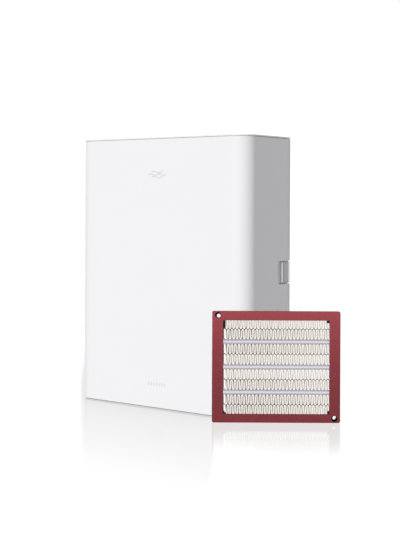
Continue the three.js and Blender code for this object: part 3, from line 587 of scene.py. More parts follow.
def make_front_shell():
    rear, low, high = SHELL_HIGH.y, SHELL_LOW.z, SHELL_HIGH.z
    fold, flange, spare = 2 * MM, 10 * MM, 10 * MM
    shell = prism("front_shell_skin", case_plan(0, rear), "z", low, high)
    hollow = prism("hollow", case_plan(SHELL_WALL, rear + spare), "z", low + fold, high + spare)
    under = prism("under", case_plan(flange, rear + spare), "z", low - spare, low + fold + spare)
    carve(shell, hollow, under, latch_notch(1), latch_notch(-1))
    soften(shell, 0.5 * MM)
    stand_for(shell, "front_shell")


def outlet_slots():
    columns, rows, length, width = (-1, 1), 8, 168 * MM, 5 * MM
    front, pitch, bridge = WALL - 122 * MM, 11 * MM, 14 * MM
    slots = []
    for row in range(rows):
        for side in columns:
            middle = side * (length + bridge) / 2
            y = front + row * pitch
            outline = rounded(middle - length / 2, middle + length / 2, y, y + width, width * 0.49, 6)
            slots.append(prism("slot", outline, "z", CAP_LOW.z, HEIGHT + 5 * MM))
    return slots


CAP_PLATE = 2.8 * MM


def make_top_cap():
    plate_low = HEIGHT - CAP_PLATE
    cap = prism("top_cap_plate", case_plan(0, WALL), "z", plate_low, HEIGHT)
    carve(cap, *outlet_slots())
    soften(cap, 0.6 * MM, 3)
    skirt = prism("skirt", case_plan(4 * MM, WALL - 12 * MM), "z", CAP_LOW.z, plate_low)
    carve(skirt, prism("inside", case_plan(6 * MM, WALL + 0.01), "z", CAP_LOW.z - 0.01, HEIGHT))
    fuse(cap, shade(skirt))
    stand_for(cap, "top_cap")


def make_base_panel():
    base = prism("base_tray", case_plan(4 * MM, BASE_HIGH.y), "z", BASE_LOW.z, BASE_HIGH.z)
    soften(base, 0.4 * MM)
    stand_for(base, "base_panel", "shadow_grey")


def face_mark(name, outlines):
    """A thin generic mark on the front: flat outlines in x and z, printed a hair proud of the shell."""
    rise = 0.06 * MM
    mark = fuse(*(prism(name, outline, "y", FRONT - rise, FRONT + rise) for outline in outlines))
    add_to(mark, "front_shell", "grey_plastic", "mark_grey")


def wave_ribbon(reach, middle, swing, half_height, waves, steps=36):
    """A level band that rises and falls, as an air-flow sign."""
    above, below = [], []
    for i in range(steps + 1):
        x = reach * (2 * i / steps - 1)
        z = middle + swing * math.sin(2 * math.pi * waves * i / steps)
        above.append((x, z + half_height))
        below.append((x, z - half_height))
    return above + below[::-1]


def make_marks():
    reach, middle, spacing, swing, half_height = (value * MM for value in (27, 517, 5.6, 1.8, 1.2))
    face_mark("airflow_mark", [
        wave_ribbon(reach * share, middle + row * spacing, swing, half_height, 2 * share)
        for row, share in ((1, 0.62), (0, 1.0), (-1, 0.62))
    ])
    pitch, height, half_width, corner = (value * MM for value in (7.6, 53.7, 1.6, 1.4))
    dashes = []
    for i in range(7):
        centre = (i - 3) * pitch
        tall = (4.8 if i % 2 else 3.6) * MM
        left, right = centre - half_width, centre + half_width
        dashes.append(rounded(left, right, height - tall, height + tall, corner, 6))
    face_mark("level_dashes", dashes)


make_front_shell()
make_top_cap()
make_base_panel()
make_marks()


def refined(node, width):
    """A CAD node's own shape with every sharp edge rounded over."""
    obj = copied(f"{node}_body", node)
    soften(obj, width, 2, 40)
    return stand_for(obj, node)


# ---------------------------------------------------------------- Latches

def scoop_profile(outer, front, rear):
    """What is cut from the button: a slope up to an upright rib, and a shallow pad behind it."""
    start, slope, depth, rise, crest, pad, lip, skim = (
        value * MM for value in (7, 8, 3.2, 3.2, 1.4, 1.5, 2.2, 0.1)
    )
    foot = front + start + slope
    top = foot + rise
    return [
        (outer, front + start), (outer - depth, foot), (outer - skim, top), (outer - skim, top + crest),
        (outer - pad, top + crest + 0.5 * MM), (outer - pad, rear - lip), (outer, rear - lip + MM),
        (outer + MM, rear - lip + MM), (outer + MM, front + start),
    ]


def make_latch(side, word):
    node = f"latch_button_{word}"
    low, high = LATCH_LOW, LATCH_HIGH
    inner, outer, middle = low.x, high.x, (low.z + high.z) / 2
    corner, rim, sink = 7.3 * MM, 3.2 * MM, 3 * MM
    outline = rounded(low.y, high.y + 12 * MM, low.z, high.z, corner, 10)
    button = prism(f"{node}_body", outline, "x", inner, outer)
    cutters = [
        block("rear", (inner - MM, high.y, low.z - MM), (outer + MM, high.y + 30 * MM, high.z + MM)),
        prism("scoop", scoop_profile(outer, low.y, high.y), "z", low.z + rim, high.z - rim),
        rod("spring_well", (0, high.y - 23.4 * MM, middle), 5.5 * MM, inner - MM, inner + 7 * MM, "x"),
    ]
    for start, half in ((high.y - 5 * MM, 1.6 * MM), (low.y + 5 * MM, 2.2 * MM)):
        cutters += [
            block("step", (outer - sink, start, z - half), (outer + MM, high.y + MM, z + half))
            for z in (low.z, high.z)
        ]
    carve(button, *cutters)
    soften(button, 0.45 * MM, 2, 30)
    if side < 0:
        mirror(button, (1, 0, 0))
    stand_for(button, node, "latch_white")
    refined(f"latch_housing_{word}", 0.3 * MM)
    make_latch_spring(word)


def make_latch_spring(word):
    node = f"latch_spring_{word}"
    low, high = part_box(node)
    wire, turns, steps = 0.5 * MM, 4, 96
    centre = (low + high) / 2
    radius = (high.z - low.z) / 2 - wire
    points = []
    for i in range(steps + 1):
        angle = 2 * math.pi * turns * i / steps
        x = low.x + wire + (high.x - low.x - 2 * wire) * i / steps
        points.append((x, centre.y + radius * math.cos(angle), centre.z + radius * math.sin(angle)))
    stand_for(shade(swept(f"{node}_coil", points, wire)), node)


for latch_side, latch_word in ((1, "right"), (-1, "left")):
    make_latch(latch_side, latch_word)


# ---------------------------------------------------------------- Rear: back plate, bracket, duct and cable

def make_back_plate():
    """The pan, with shallow stiffening beads pressed into its rear."""
    plate = copied("back_plate_pan", "back_plate")
    level = [(-150, 150, z, z + 5) for z in (250, 262, 274)]  # left, right, low and high, in mm
    upright = [(x - 2.5, x + 2.5, 330, 500) for x in (-190, 190)]
    floor, mouth = BACK_HIGH.y - 0.8 * MM, BACK_HIGH.y + 5 * MM
    carve(plate, *(
        prism("bead", rounded(*(value * MM for value in spot), 2.4 * MM, 6), "y", floor, mouth)
        for spot in level + upright
    ))
    soften(plate, 0.35 * MM, 2, 35)
    stand_for(plate, "back_plate", "rim_white")


def make_collar():
    low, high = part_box("inlet_collar")
    centre = (0, 0, (low.z + high.z) / 2)
    bore, outer, flange = 63, 65, (high.z - low.z) / 2 / MM
    rear, seat = (high.y - low.y) / MM, (WALL - low.y) / MM - 7.5
    profile = [
        (outer, 0), (outer, seat - 2.6), (outer + 0.8, seat - 2), (flange - 0.5, seat - 2),
        (flange, seat - 1.5), (flange, seat - 0.4), (flange - 0.4, seat), (outer, seat),
        (outer, rear - 0.5), (outer - 0.5, rear), (bore + 0.6, rear), (bore, rear - 0.8),
        (bore, 0.4), (bore + 0.4, 0),
    ]
    spigot = turned("inlet_collar_spigot", profile, centre, low.y, sides=128)
    stand_for(shade(spigot, 35), "inlet_collar")
    low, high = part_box("gate_seal")
    inner, outer, thick = 61.2, 66.8, (high.y - low.y) / MM
    lip = [(inner, 0), (inner, thick), (outer, thick), (outer, 0), ((inner + outer) / 2 + 0.8, thick * 0.3)]
    stand_for(shade(turned("gate_seal_ring", lip, centre, low.y, sides=128), 35), "gate_seal")


def make_cable():
    low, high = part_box("cable_gland")
    x, z, rear = (low.x + high.x) / 2, (low.z + high.z) / 2, (high.y - low.y) / MM
    profile = [
        (9, 0.8), (9, 11), (9.6, 11.3), (9, rear - 0.5), (8.5, rear), (4.4, rear), (4.2, rear - 0.6),
        (4.2, 0.5), (4.9, 0), (8.2, 0),
    ]
    gland = turned("cable_gland_barrel", profile, (x, 0, z), low.y)
    nut = rod("nut", (x, 0, z), 11.6 * MM, low.y + 11.2 * MM, low.y + 13.4 * MM, sides=6)
    carve(nut, rod("hole", (x, 0, z), 9 * MM, low.y, high.y + MM, sides=64))
    fuse(gland, soften(nut, 0.3 * MM))
    stand_for(shade(gland, 35), "cable_gland")
    low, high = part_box("mains_cable")
    radius = 3.2 * MM
    side, front, rear, top = high.x - radius, low.y + radius, high.y - MM, high.z - radius
    route = [(side, rear - back * MM, z + rise * MM) for back, rise in ((0, 0), (14, 0), (28, 4))]
    route += [(side, front + 4 * MM, z + 36 * MM)]
    route += [(side, front, z + rise * MM) for rise in (70, 130, 210)]
    route += [
        (side, front, high.z - 34 * MM), (side - 1.5 * MM, front, high.z - 8 * MM),
        (side - 14 * MM, front, top), (low.x, front, top),
    ]
    stand_for(shade(swept("mains_cable_sheath", route, radius, 24)), "mains_cable")


make_back_plate()
refined("wall_bracket", 0.3 * MM)
make_collar()
make_cable()


# ---------------------------------------------------------------- Filter box and shutter

def make_filter_frame(name, low, high, border):
    ring = block(name, low, high)
    inset = Vector((border, -5 * MM, border))
    carve(ring, block("inside", low + inset, high - inset))
    return soften(ring, 0.5 * MM)


def make_pleated_filter():
    node, border, count, sheet, margin = "hepa_filter", 8 * MM, 64, 0.7 * MM, 3.2 * MM
    low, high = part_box(node)
    add_to(make_filter_frame("hepa_filter_frame", low, high, border), node, NODE_SLOT[node], "latch_white")
    front, back = low.y + margin, high.y - margin
    left, right = low.x + border, high.x - border
    points = [
        (left + (right - left) * i / (2 * count), back if i % 2 else front) for i in range(2 * count + 1)
    ]
    band = points + [(x, y + sheet) for x, y in reversed(points)]
    stand_for(prism("hepa_filter_pleats", band, "z", low.z + border, high.z - border), node)
    for i in range(1, 5):
        z = low.z + border + (high.z - low.z - 2 * border) * i / 5
        bead_low, bead_high = (left, front - 0.6 * MM, z - 0.7 * MM), (right, front + 0.8 * MM, z + 0.7 * MM)
        add_to(soften(block(f"hepa_glue_bead_{i}", bead_low, bead_high), 0.3 * MM), node, "nylon")


def grid_bars(name, low, high, columns, rows, width):
    """A lattice of flat bars filling a frame."""
    half, size, thinner, bars = width / 2, high - low, 0.1 * MM, []
    for i in range(1, columns + 1):
        x = low.x + size.x * i / (columns + 1)
        bars.append(block(name, (x - half, low.y, low.z), (x + half, high.y, high.z)))
    for i in range(1, rows + 1):
        z = low.z + size.z * i / (rows + 1)
        bars.append(block(name, (low.x, low.y + thinner, z - half), (high.x, high.y - thinner, z + half)))
    return fuse(*bars)


def make_grid_filter(node, columns, rows, width):
    """A frame and lattice in front of a soft pad."""
    border = 8 * MM
    low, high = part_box(node)
    outer = make_filter_frame(f"{node}_frame", low, high, border)
    inset = Vector((border, 1.5 * MM, border))
    low, high = low + inset, high - inset
    front = low.y + 2.5 * MM
    fuse(outer, grid_bars(f"{node}_lattice", low, Vector((high.x, front, high.z)), columns, rows, width))
    add_to(outer, node, NODE_SLOT[node], "black_plastic")
    stand_for(rippled_pad(f"{node}_media", low, high, front + 0.3 * MM, 0.8 * MM), node)


def rippled_pad(name, low, high, front, swing, columns=120, rows=90):
    """A soft pad whose front face is a regular field of small bumps."""
    bm = bmesh.new()
    size, wave, field = high - low, 0.9, []
    for j in range(rows + 1):
        z = low.z + size.z * j / rows
        line = []
        for i in range(columns + 1):
            lift = swing * (0.5 + 0.5 * math.sin(i * wave) * math.sin(j * wave))
            line.append(bm.verts.new((low.x + size.x * i / columns, front + lift, z)))
        field.append(line)
    for lower, upper in zip(field, field[1:]):
        for i in range(columns):
            bm.faces.new((lower[i], lower[i + 1], upper[i + 1], upper[i]))
    edge = field[0] + [line[-1] for line in field[1:]]
    edge += field[-1][-2::-1] + [line[0] for line in field[-2:0:-1]]
    rim = [bm.verts.new((v.co.x, high.y, v.co.z)) for v in edge]
    join_rings(bm, (edge, rim))
    bm.faces.new(rim)
    return shade(object_from_bmesh(name, bm), 60)


def make_acoustic_mat():
    """The mat's bumps face the rear, so it is made facing forward and mirrored."""
    low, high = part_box("acoustic_mat")
    near, far = Vector((low.x, -high.y, low.z)), Vector((high.x, -low.y, high.z))
    mat = rippled_pad("acoustic_mat_foam", near, far, near.y, 1.8 * MM, 152, 106)
    mirror(mat, (0, 1, 0))
    stand_for(mat, "acoustic_mat")


refined("filter_housing", 0.4 * MM)
refined("shutter_gate", 0.25 * MM)
refined("shutter_pinion", 0.15 * MM)
refined("shutter_motor", 0.3 * MM)
make_pleated_filter()
make_grid_filter("pre_filter", 7, 5, 2 * MM)
make_grid_filter("carbon_filter", 23, 17, 1.2 * MM)
make_acoustic_mat()


# ---------------------------------------------------------------- Fan section and controls

def spiral_outline(grow=0.0, steps=120):
    """The fan casing's spiral as seen from the front, with its outlet upwards on the right."""
    centre_x, centre_z = FAN_CENTRE
    tongue, outlet, top = 97 * MM, FAN_OUTLET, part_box("fan_cover")[1].z
    start = math.pi / 3
    growth = math.log(outlet / tongue) / (2 * math.pi - start)
    edge = centre_x + tongue * math.cos(start) - grow
    first = math.acos((edge - centre_x) / (tongue + grow))
    points = []
    for i in range(steps + 1):
        angle = first + (2 * math.pi - first) * i / steps
        radius = tongue * math.exp(growth * (angle - start)) + grow
        points.append((centre_x + radius * math.cos(angle), centre_z + radius * math.sin(angle)))
    return points + [(centre_x + outlet + grow, top), (points[0][0], top)]


IMPELLER_LOW, IMPELLER_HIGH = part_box("impeller")
FAN_CENTRE = ((IMPELLER_LOW.x + IMPELLER_HIGH.x) / 2, (IMPELLER_LOW.z + IMPELLER_HIGH.z) / 2)
FAN_OUTLET = 142 * MM
AXIS_RADIUS = 0.01  # in millimetres: where a turned body closes on its own axis


def make_fan():
    wall, (x, z) = 2 * MM, FAN_CENTRE
    centre = (x, 0, z)
    low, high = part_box("fan_scroll")
    scroll = prism("fan_scroll_casing", spiral_outline(wall), "y", low.y, high.y)
    hollow = prism("hollow", spiral_outline(), "y", low.y - MM, high.y - wall)
    mouth_low = (x + 50.5 * MM, low.y - MM, high.z - 4 * MM)
    mouth_high = (x + FAN_OUTLET, high.y - wall, high.z + MM)
    carve(scroll, hollow, block("mouth", mouth_low, mouth_high))
    foot, side = 14 * MM, 4 * MM
    fuse(scroll, block("foot", (x - foot, low.y + side, low.z), (x + foot, high.y - side, low.z + 17.9 * MM)))
    stand_for(soften(scroll, 0.3 * MM), "fan_scroll")

    low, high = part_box("fan_cover")
    sheet, deep = 3, (high.y - low.y) / MM
    plate_back = low.y + sheet * MM
    plate = prism("fan_cover_plate", spiral_outline(wall), "y", low.y, plate_back)
    carve(plate, rod("inlet", centre, 66 * MM, low.y - MM, plate_back + MM, sides=128))
    soften(plate, 0.3 * MM)
    bell = [
        (69, 0), (66.5, 0.2), (64.2, 1.6), (62.6, 4), (62, 7), (62, deep), (63.2, deep), (63.6, 6),
        (66, sheet), (69, sheet),
    ]
    fuse(plate, shade(turned("bellmouth", bell, centre, low.y, sides=128), 35))
    stand_for(plate, "fan_cover")

    low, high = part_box("fan_motor")
    deep = (high.y - low.y) / MM
    can = [
        (4.3, 0), (30, 0), (33, 1.2), (35.6, 4), (36, 7), (36, 15), (35.2, 15.5), (35.2, 16.6), (36, 17),
        (36, deep - 3), (42, deep - 3), (42, deep), (AXIS_RADIUS, deep), (AXIS_RADIUS, 12), (4.3, 12),
    ]
    stand_for(shade(turned("fan_motor_can", can, centre, low.y, sides=96), 35), "fan_motor")
    make_impeller(centre)


def make_impeller(centre):
    outer, inner, blades, steps, sweep, thick = 88, 71 * MM, 36, 8, 0.16, 0.9 * MM
    front, back = IMPELLER_LOW.y, IMPELLER_HIGH.y - 11 * MM
    x, z = FAN_CENTRE
    profile = [
        (AXIS_RADIUS, 0), (outer - 0.8, 0), (outer, -0.8), (outer, -2.2), (outer - 0.8, -3),
        (40, -3), (24, -5), (12, -9), (11, -11), (AXIS_RADIUS, -11),
    ]
    wheel = turned("impeller_wheel", profile, centre, back, sides=96)
    ring = [(77, 0.4), (77.4, 0), (outer - 0.4, 0), (outer, 0.4), (outer, 3), (77, 3)]
    shaft = rod("shaft", centre, 4 * MM, back - MM, IMPELLER_HIGH.y, sides=32)
    fuse(wheel, turned("ring", ring, centre, front, sides=96), shaft)
    for blade in range(blades):
        outline, returning = [], []
        for i in range(steps + 1):
            radius = inner + ((outer - 1) * MM - inner) * i / steps
            angle = 2 * math.pi * blade / blades + sweep * math.sin(i / steps * math.pi / 2)
            for side, turn in ((outline, angle), (returning, angle + thick / radius)):
                side.append((x + radius * math.cos(turn), z + radius * math.sin(turn)))
        fuse(wheel, prism("blade", outline + returning[::-1], "y", front + MM, back - MM))
    stand_for(shade(wheel, 35), "impeller")


def make_board():
    low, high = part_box("control_board")
    face, inset = low.x + 1.6 * MM, 3.2 * MM
    board = block("control_board_laminate", low, (face, high.y, high.z))
    holes = [
        rod("hole", (0, y, z), 1.7 * MM, low.x - MM, face + MM, "x", 20)
        for y in (low.y + inset, high.y - inset) for z in (low.z + inset, high.z - inset)
    ]
    carve(board, *holes)
    stand_for(board, "control_board")

    def at(y, z, rise=0.0):
        return (face + rise * MM, low.y + y * MM, low.z + z * MM)

    def part(name, y, z, width, height, rise, slot="black_plastic", look=None, edge=0.4):
        """A small boxy component with rounded edges: its corner, width, height and rise, in mm."""
        body = block(name, at(y, z), at(y + width, z + height, rise))
        add_to(soften(body, edge * MM), "control_board", slot, look)

    for i in range(3):
        part(f"relay_{i + 1}", 7, 144 + 26 * i, 16, 20, 16, "grey_plastic", "relay_grey", 0.6)
    part("power_transformer", 10, 50, 38, 48, 12, "motor_steel")
    part("transformer_coil", 15, 56, 28, 36, 19.5, edge=1.2)
    part("line_choke", 58, 46, 26, 30, 13, "grey_plastic", "latch_white", 1.0)
    part("processor", 44, 150, 24, 24, 2.2)
    part("driver", 44, 182, 12, 8, 1.8)
    part("sensor_plug", 42, 206, 36, 13, 9, "nylon")
    part("motor_plug", 56, 8, 26, 20, 11.5, "nylon")
    for i in range(4):
        name = f"mains_terminal_{i + 1}"
        part(name, 12.5 + 8 * i, 10, 7.2, 24, 14.5, "grey_plastic", "terminal_green", 0.5)
        screw = rod(f"terminal_screw_{i + 1}", at(16.1 + 8 * i, 16), 2.2 * MM, 14 * MM, 15 * MM, "x", 20)
        add_to(screw, "control_board", "motor_steel")
    can = [
        (AXIS_RADIUS, 0), (7.2, 0), (7.8, 0.8), (7.4, 1.6),
        (7.8, 2.4), (7.8, 24.6), (7, 25.6), (AXIS_RADIUS, 25.6),
    ]
    for i, y in enumerate((52, 72)):
        capacitor = turned(f"capacitor_{i + 1}", can, at(y, 114), axis="x", sides=40)
        add_to(shade(capacitor, 35), "control_board", "black_plastic")
    scatter = random.Random(7)
    for i in range(26):
        y, z = scatter.uniform(28, 84), scatter.uniform(178, 232)
        if 40 < y < 80 and (z < 192 or z > 203):
            continue  # the driver and the sensor plug stand here
        part(f"chip_{i + 1}", y, z, 3.2, 1.6, 0.9, "motor_steel" if i % 2 else "black_plastic", edge=0.2)


for node, width in (
    ("mid_shelf", 0.4 * MM), ("heater_seat_panel", 0.35 * MM),
    ("heater_socket", 0.4 * MM), ("board_tray", 0.4 * MM),
):
    refined(node, width)
make_fan()
make_board()


# ---------------------------------------------------------------- Heater module

def module_frame():
    """The module's own frame: x across its face, y back from the face and z up, from its base's middle."""
    joint = next(j for j in frame["record"]["behaviour"]["joints"] if j["name"] == "heater_module_withdraw")
    forward = Vector(joint["axis"]).normalized()
    across = Vector((-forward.y, forward.x, 0))
    plate = frame["nodes"]["heater_face_plate"]
    corners = [plate.matrix_world @ vertex.co for vertex in plate.data.vertices]
    spread = [corner.dot(across) for corner in corners]
    fronts = [corner.dot(forward) for corner in corners]
    origin = across * (min(spread) + max(spread)) / 2 + forward * max(fronts)
    return Matrix.LocRotScale(origin, Matrix((across, -forward, (0, 0, 1))).transposed(), None)


MODULE = module_frame()
FACE_HALF, FACE_HEIGHT = 133 * MM, 231 * MM
OPEN_HALF, OPEN_LOW, OPEN_HIGH = 110.6 * MM, 18.4 * MM, 212 * MM
CORE_LEFT, CORE_RIGHT, CORE_FRONT, CORE_BACK = -108 * MM, 112 * MM, 3 * MM, 20.4 * MM
CORE_LOW, BAND, BAR = 15.75 * MM, 42 * MM, 10.3 * MM
SCREW_HOLES = ((-121, 223), (121, 8.5))  # x and z in mm, with each hole's recess and ring opening:
SCREW_RECESSES = ((-119.6, 220.4), (121, 8.6))
RING_OPENINGS = ((-119.4, 221.4), (121.2, 10.6))


def placed(obj):
    obj.data.transform(MODULE)
    return obj


def repaint(obj, look, chosen):
    """Gives a second look to the faces whose middle, in the module's own frame, is chosen."""
    obj.data.materials.append(LOOKS[look])
    inwards = MODULE.inverted()
    for face in obj.data.polygons:
        if chosen(inwards @ face.center):
            face.material_index = 1


def make_face_plate():
    sheet, lip, corner = 1.5 * MM, 10 * MM, 4 * MM
    plate = prism("heater_face_sheet", rounded(-FACE_HALF, FACE_HALF, 0, FACE_HEIGHT, corner), "y", 0, lip)
    soften(plate, 1.1 * MM, 3, 35)
    inside = rounded(-FACE_HALF + sheet, FACE_HALF - sheet, sheet, FACE_HEIGHT - sheet, corner - sheet)
    hollow = prism("hollow", inside, "y", sheet, lip + MM)
    outline = rounded(-OPEN_HALF, OPEN_HALF, OPEN_LOW, OPEN_HIGH, 1.2 * MM, 4)
    opening = prism("opening", outline, "y", -MM, lip)
    holes = [
        rod("hole", (x * MM, 0, z * MM), 6.2 * MM, -MM, sheet + MM, sides=48) for x, z in SCREW_HOLES
    ]
    carve(plate, hollow, opening, *holes)
    soften(plate, 0.3 * MM, 2, 35)
    stand_for(placed(plate), "heater_face_plate")


def fold_line(left, right, low, high, folds, bulge):
    """The middle line of a folded foil: bowed legs between rounded crests."""
    points = []
    for fold in range(folds):
        for i in range(FOLD_STEPS):
            share = i / FOLD_STEPS
            wave = math.sin(2 * math.pi * share) / (2 * math.pi)
            rise = 0.5 - 0.5 * math.cos(math.pi * share) - 0.32 * wave
            z = high - (high - low) * rise if fold % 2 == 0 else low + (high - low) * rise
            points.append((left + (right - left) * (fold + share + bulge * wave) / folds, z))
    points.append((right, low if (folds - 1) % 2 == 0 else high))
    return points


FOLD_STEPS = 12
FIN_STATIONS = 9
# Painted shade on the fin rows: how dark each row is painted at its upper and lower edge.
FIN_PAINTED_SHADE = (  # at the upper and the lower edge of each row, from the top row down
    (0.5, 0.6), (1.0, 0.75), (0.8, 1.0), (0.55, 0.65), (0.45, 0.5), (1.0, 0.7), (0.9, 1.0), (1.0, 0.85),
)
# The painted shade on the fins grows lighter towards the right-hand end by this share.
FIN_SHADE_FADE = 0.62  # how much of the darkness is lost by the right-hand end


def make_fin_row(row, spread):
    """One folded strip. Its front half leans right and its back half leans left, so none is seen through."""
    clear, separator, pitch, half, sway, inset, end_room, bright, dark = (
        value * MM for value in (0.3, 0.5, 7.5, 0.36, 6.3, 0.4, 12, 1.3, 2.4)
    )
    height = (BAND - separator) / 2 - 2 * clear
    low = CORE_LOW + (row // 2) * (BAND + BAR) + clear + (row % 2) * (height + 2 * clear + separator)
    folds = round(2 * (CORE_RIGHT - CORE_LEFT) / pitch)
    line = fold_line(CORE_LEFT + inset, CORE_RIGHT - 3 * inset, low + half, low + height - half, folds, 0.85)
    wobble = [spread.uniform(-0.35, 0.35) * MM for _ in range(folds + 1)]
    above, below = FIN_PAINTED_SHADE[7 - row]
    bm = bmesh.new()
    deep = bm.verts.layers.float.new("deep")
    rings = []
    for index, (x, z) in enumerate(line):
        before, after = line[max(index - 1, 0)], line[min(index + 1, len(line) - 1)]
        along = Vector((after[0] - before[0], after[1] - before[1])).normalized()
        normal = Vector((-along.y, along.x)) * half
        fold, part = divmod(index, FOLD_STEPS)
        shift = wobble[fold] + (wobble[min(fold + 1, folds)] - wobble[fold]) * part / FOLD_STEPS
        near_end = min(1.0, (CORE_RIGHT - x) / end_room)
        fade = 1.0 - FIN_SHADE_FADE * (x - CORE_LEFT) / (CORE_RIGHT - CORE_LEFT)
        tone = (below + (above - below) * (z - low) / height) * fade
        sides = {1: [], -1: []}
        for station in range(FIN_STATIONS):
            share = station / (FIN_STATIONS - 1)
            lean = sway * near_end * (1 - abs(2 * share - 1))
            y = CORE_FRONT + (CORE_BACK - CORE_FRONT) * share
            for sign, column in sides.items():
                point = (x + shift * near_end + lean + sign * normal.x, y, z + sign * normal.y)
                vertex = bm.verts.new(point)
                # Painted shade: vertices of legs that lean past the bright limit get a darker tone, standing
                # in for the shade between the folds.
                vertex[deep] = tone * min(max((lean - bright) / (dark - bright), 0.0), 1.0)
                column.append(vertex)
        rings.append(sides[1] + sides[-1][::-1])
    join_rings(bm, rings)
    for ring in (rings[0], rings[-1]):
        for i in range(FIN_STATIONS - 1):
            bm.faces.new((ring[i], ring[i + 1], ring[-i - 2], ring[-i - 1]))
    foil = shade(placed(object_from_bmesh(f"fin_row_{row + 1}_foil", bm)), 40)
    stand_for(foil, f"fin_row_{row + 1}")


def make_separator(band):
    """The thin sheet between two fin rows."""
    name, middle, half = f"fin_separator_{band + 1}", CORE_LOW + band * (BAND + BAR) + BAND / 2, 0.25 * MM
    low, high = (CORE_LEFT, CORE_FRONT - 0.2 * MM, middle - half), (CORE_RIGHT, CORE_BACK, middle + half)
    stand_for(placed(soften(block(f"{name}_sheet", low, high), 0.1 * MM)), name)


def make_bar(bar):
    """One flat heating tube with closed ends: a bright raised band between two lower edges, which are rougher
    and painted darker as shade.
    """
    low = CORE_LOW + bar * (BAND + BAR) + BAND
    high, middle = low + BAR, low + BAR / 2
    left, right, drop, band_half, wall = CORE_LEFT - 2 * MM, CORE_RIGHT, 0.7 * MM, 2.1 * MM, 2 * MM
    outline = rounded(CORE_FRONT, CORE_BACK, low, high, 1.4 * MM, 6)
    tube = prism(f"element_bar_{bar + 1}_tube", outline, "x", left, right)
    edges = [
        block("edge", (left - MM, CORE_FRONT - MM, z_low), (right + MM, CORE_FRONT + drop, z_high))
        for z_low, z_high in ((low - MM, middle - band_half), (middle + band_half, high + MM))
    ]
    bore_low = (left + 1.5 * MM, CORE_FRONT + wall, low + 2.6 * MM)
    bore_high = (right + MM, CORE_BACK - wall, high - 2.6 * MM)
    carve(tube, block("bore", bore_low, bore_high), *edges)
    soften(tube, 0.3 * MM, 2, 45)
    stand_for(placed(tube), f"element_bar_{bar + 1}")
    # Painted shade: the front faces of the lower edges get the darker copy of the bar's look.
    shaded_front = CORE_FRONT + 1.6 * MM
    beside = band_half - 0.1 * MM
    repaint(tube, "bar_edge_painted_shade", lambda spot: spot.y < shaded_front and abs(spot.z - middle) > beside)
    refined(f"heating_strip_{bar + 1}", 0.3 * MM)


def make_carrier():
    """The black frame that holds the core, with ribs at its rear, side lips and a ring in each screw hole."""
    node = "heater_carrier_frame"
    body = copied(f"{node}_body", node)
    recesses = [
        placed(rod("recess", (x * MM, 0, z * MM), 4.9 * MM, 4 * MM, 24 * MM, sides=48))
        for x, z in SCREW_RECESSES
    ]
    carve(body, *recesses)
    stand_for(soften(body, 0.3 * MM, 2, 40), node)
    back, half = 21.8 * MM, 0.6 * MM
    for i in range(9):
        x = (-96 + 24 * i) * MM
        for level in (4, 219):
            z = level * MM
            corners = (x - half, back - 0.2 * MM, z), (x + half, back + MM, z + 8 * MM)
            rib = block(f"carrier_rib_{i}_{level}", *corners)
            add_to(placed(soften(rib, 0.2 * MM)), node, "black_plastic")
    core_high = FACE_HEIGHT - CORE_LOW
    # Painted shade: the side lips are dark brown to show the shaded gap beside the fins.
    for word, edge_low, edge_high in (("left", -112.9 * MM, -108.3 * MM), ("right", 112.1 * MM, 112.9 * MM)):
        lip = block(f"carrier_lip_{word}", (edge_low, 17.5 * MM, CORE_LOW), (edge_high, back, core_high))
        add_to(placed(soften(lip, 0.2 * MM)), node, "black_plastic", "lip_painted_shade")
    # The rings wear the matt black as painted shade in the holes.
    for i, ((x, z), (hole_x, hole_z)) in enumerate(zip(SCREW_HOLES, RING_OPENINGS)):
        boss = rod(f"carrier_boss_{i + 1}", (x * MM, 0, z * MM), 5.9 * MM, 0.5 * MM, 1.75 * MM, sides=48)
        carve(boss, rod("hole", (hole_x * MM, 0, hole_z * MM), 4 * MM, 0, 3 * MM))
        add_to(placed(soften(boss, 0.15 * MM)), node, "black_plastic", "hole_painted_shade")
    node, half = "heater_terminal_block", 1.2 * MM
    left, right, front, rear = 120.4 * MM, 124 * MM, 27 * MM, 32.6 * MM
    refined(node, 0.3 * MM)
    refined("thermal_cutout", 0.25 * MM)
    for i, level in enumerate((69.5, 79.5, 89.5)):
        z = level * MM
        pin = block(f"terminal_pin_{i + 1}", (left, front, z - half), (right, rear, z + half))
        add_to(placed(soften(pin, 0.2 * MM)), node, "bar_aluminium")


make_face_plate()
make_carrier()
fin_spread = random.Random(11)
for fin_row in range(8):
    make_fin_row(fin_row, fin_spread)
for fin_band in range(4):
    make_separator(fin_band)
for element in range(3):
    make_bar(element)


# ---------------------------------------------------------------- Stage, light and camera

